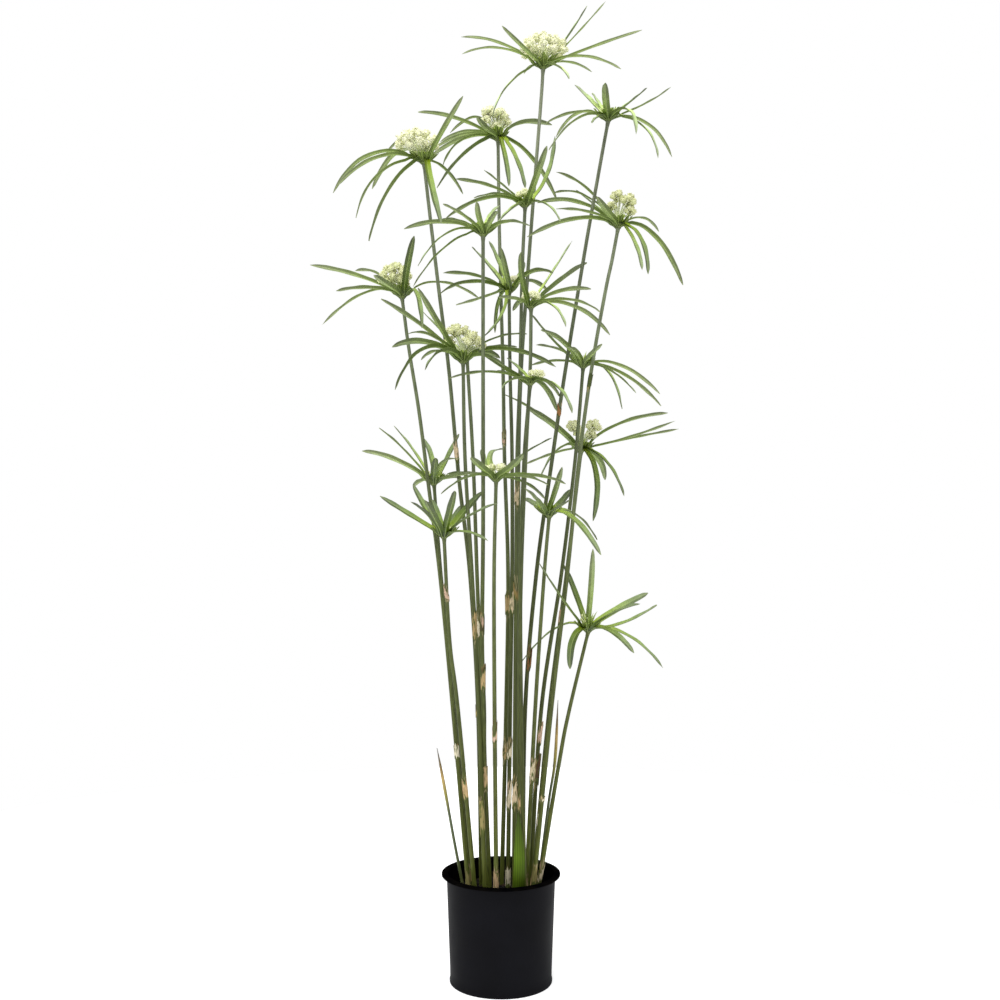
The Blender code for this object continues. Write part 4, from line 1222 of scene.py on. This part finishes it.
footBlade = {
    "rings": 24,
    "acrossStops": (1.0, 0.8, 0.6, 0.4, 0.2, 0.0, -0.2, -0.4, -0.6, -0.8, -1.0),
    "outline": ((0.0, 0.0150), (0.25, 0.0178), (0.55, 0.0160), (0.8, 0.0100), (0.95, 0.0034), (1.0, 0.0008)),
    "hollow": 0.30,              # how far its edges curl back, as a share of its width
    "thickness": 0.0009,         # its edges have about a third of it
    "thinnedUnder": 0.003,       # it thins out where its half width is less than this
}


def makeFootBlade():
    shares = evenShares(footBlade["rings"])
    points = smoothPath(stemLine("base_blade"), shares)
    piece = PieceMesh()
    rings, across = [], []
    for point, share in zip(points, shares):
        half = readStops(footBlade["outline"], share) / 2
        front, back, reaches = [], [], []
        for u in footBlade["acrossStops"]:
            curl = footBlade["hollow"] * half * u * u
            place = point + Vector((-u * half, curl - half * footBlade["hollow"] / 2, 0))
            thick = footBlade["thickness"] * (1.1 - 0.8 * u * u) * min(1, half / footBlade["thinnedUnder"])
            front.append(place - Vector((0, thick / 2, 0)))
            back.append(place + Vector((0, thick / 2, 0)))
            reaches.append(u * half)
        rings.append(front[::-1] + back)
        across.extend(reaches[::-1] + reaches)
    piece.loft(rings, shares, across=across)
    makePiece("foot_blade", piece, [footBladeSkin()], ["base_blade"])


makeFootBlade()
print("foot blade drawn")


studio = {
    "floorRadius": 1.6,
    "floorSides": 96,
    "floorColour": "f6f6f6",
    "floorGlow": 0.38,
    "fromAbove": 0.95,           # light that the white room sends down, and what comes up from below
    "fromBelow": 0.58,
    "roomFade": (-0.2, 0.5),     # rise of the directions where the one turns into the other
    "roomColour": "fdfeff",
    "sun": 0.7,
    "sunWidth": 70,              # degrees across, for soft shadows
    "sunTilt": (-30, 14),        # degrees that it leans to the front and to the left
    "softbox": 22.5,             # watts, hung so low that the top of the plant is the brightest
    "softboxSize": 1.3,
    "softboxPlace": (-0.35, -0.60, 2.65),
    "distance": 2.0,
    "across": -0.0015,
    "pixelSize": 0.001535,       # what one pixel of 1000 covers at the pot's axis
    "sensor": 36.0,
    "aimHeight": 1.2,            # what the softbox points at
}


def makeStudio():
    scene = bpy.context.scene
    scene.view_settings.view_transform = "Standard"
    camera = bpy.data.cameras.new("camera")
    camera.sensor_fit = "HORIZONTAL"
    camera.sensor_width = studio["sensor"]
    camera.lens = studio["sensor"] * studio["distance"] / (studio["pixelSize"] * 1000)
    eye = bpy.data.objects.new("camera", camera)
    eye.location = (studio["across"], -studio["distance"], eyeHeight)
    eye.rotation_euler = (math.radians(90), 0, 0)
    scene.collection.objects.link(eye)
    scene.camera = eye

    world = bpy.data.worlds.new("whiteRoom")
    world.use_nodes = True
    tree = world.node_tree
    tree.nodes.clear()
    seen = addNode(tree, "Background", {"Color": linearColour("ffffff"), "Strength": 1})
    direction = addNode(tree, "TexCoord").outputs["Generated"]
    rise = addNode(tree, "SeparateXYZ", {0: direction}).outputs["Z"]
    low, high = studio["roomFade"]
    strength = addNode(tree, "MapRange", {"Value": rise, "From Min": low, "From Max": high,
                                          "To Min": studio["fromBelow"], "To Max": studio["fromAbove"]})
    sent = addNode(tree, "Background", {"Color": linearColour(studio["roomColour"]), "Strength": strength})
    direct = addNode(tree, "LightPath").outputs["Is Camera Ray"]
    either = addNode(tree, "MixShader", {0: direct, 1: sent, 2: seen})
    addNode(tree, "OutputWorld", {0: either})
    scene.world = world

    sun = bpy.data.lights.new("wideLamp", "SUN")
    sun.energy = studio["sun"]
    sun.angle = math.radians(studio["sunWidth"])
    lamp = bpy.data.objects.new("wideLamp", sun)
    lamp.rotation_euler = [math.radians(-studio["sunTilt"][0]), math.radians(-studio["sunTilt"][1]), 0]
    scene.collection.objects.link(lamp)
    box = bpy.data.lights.new("softbox", "AREA")
    box.energy = studio["softbox"]
    box.size = studio["softboxSize"]
    hung = bpy.data.objects.new("softbox", box)
    hung.location = studio["softboxPlace"]
    aim = Vector((0, 0, studio["aimHeight"])) - hung.location
    hung.rotation_euler = aim.to_track_quat("-Z", "Y").to_euler()
    scene.collection.objects.link(hung)

    painted = startMaterial("paintedStudioFloor", Roughness=0.9, Specular_IOR_Level=0.0,
                            Base_Color=linearColour(studio["floorColour"]),
                            Emission_Color=linearColour("ffffff"), Emission_Strength=studio["floorGlow"])
    edge = levelRing(Vector(), studio["floorRadius"], studio["floorSides"])
    data = bpy.data.meshes.new("studio_floor")
    data.from_pydata(edge, [], [tuple(range(len(edge)))])
    data.materials.append(painted[0])
    floor = bpy.data.objects.new("studio_floor", data)
    scene.collection.objects.link(floor)


makeStudio()
print("studio set")
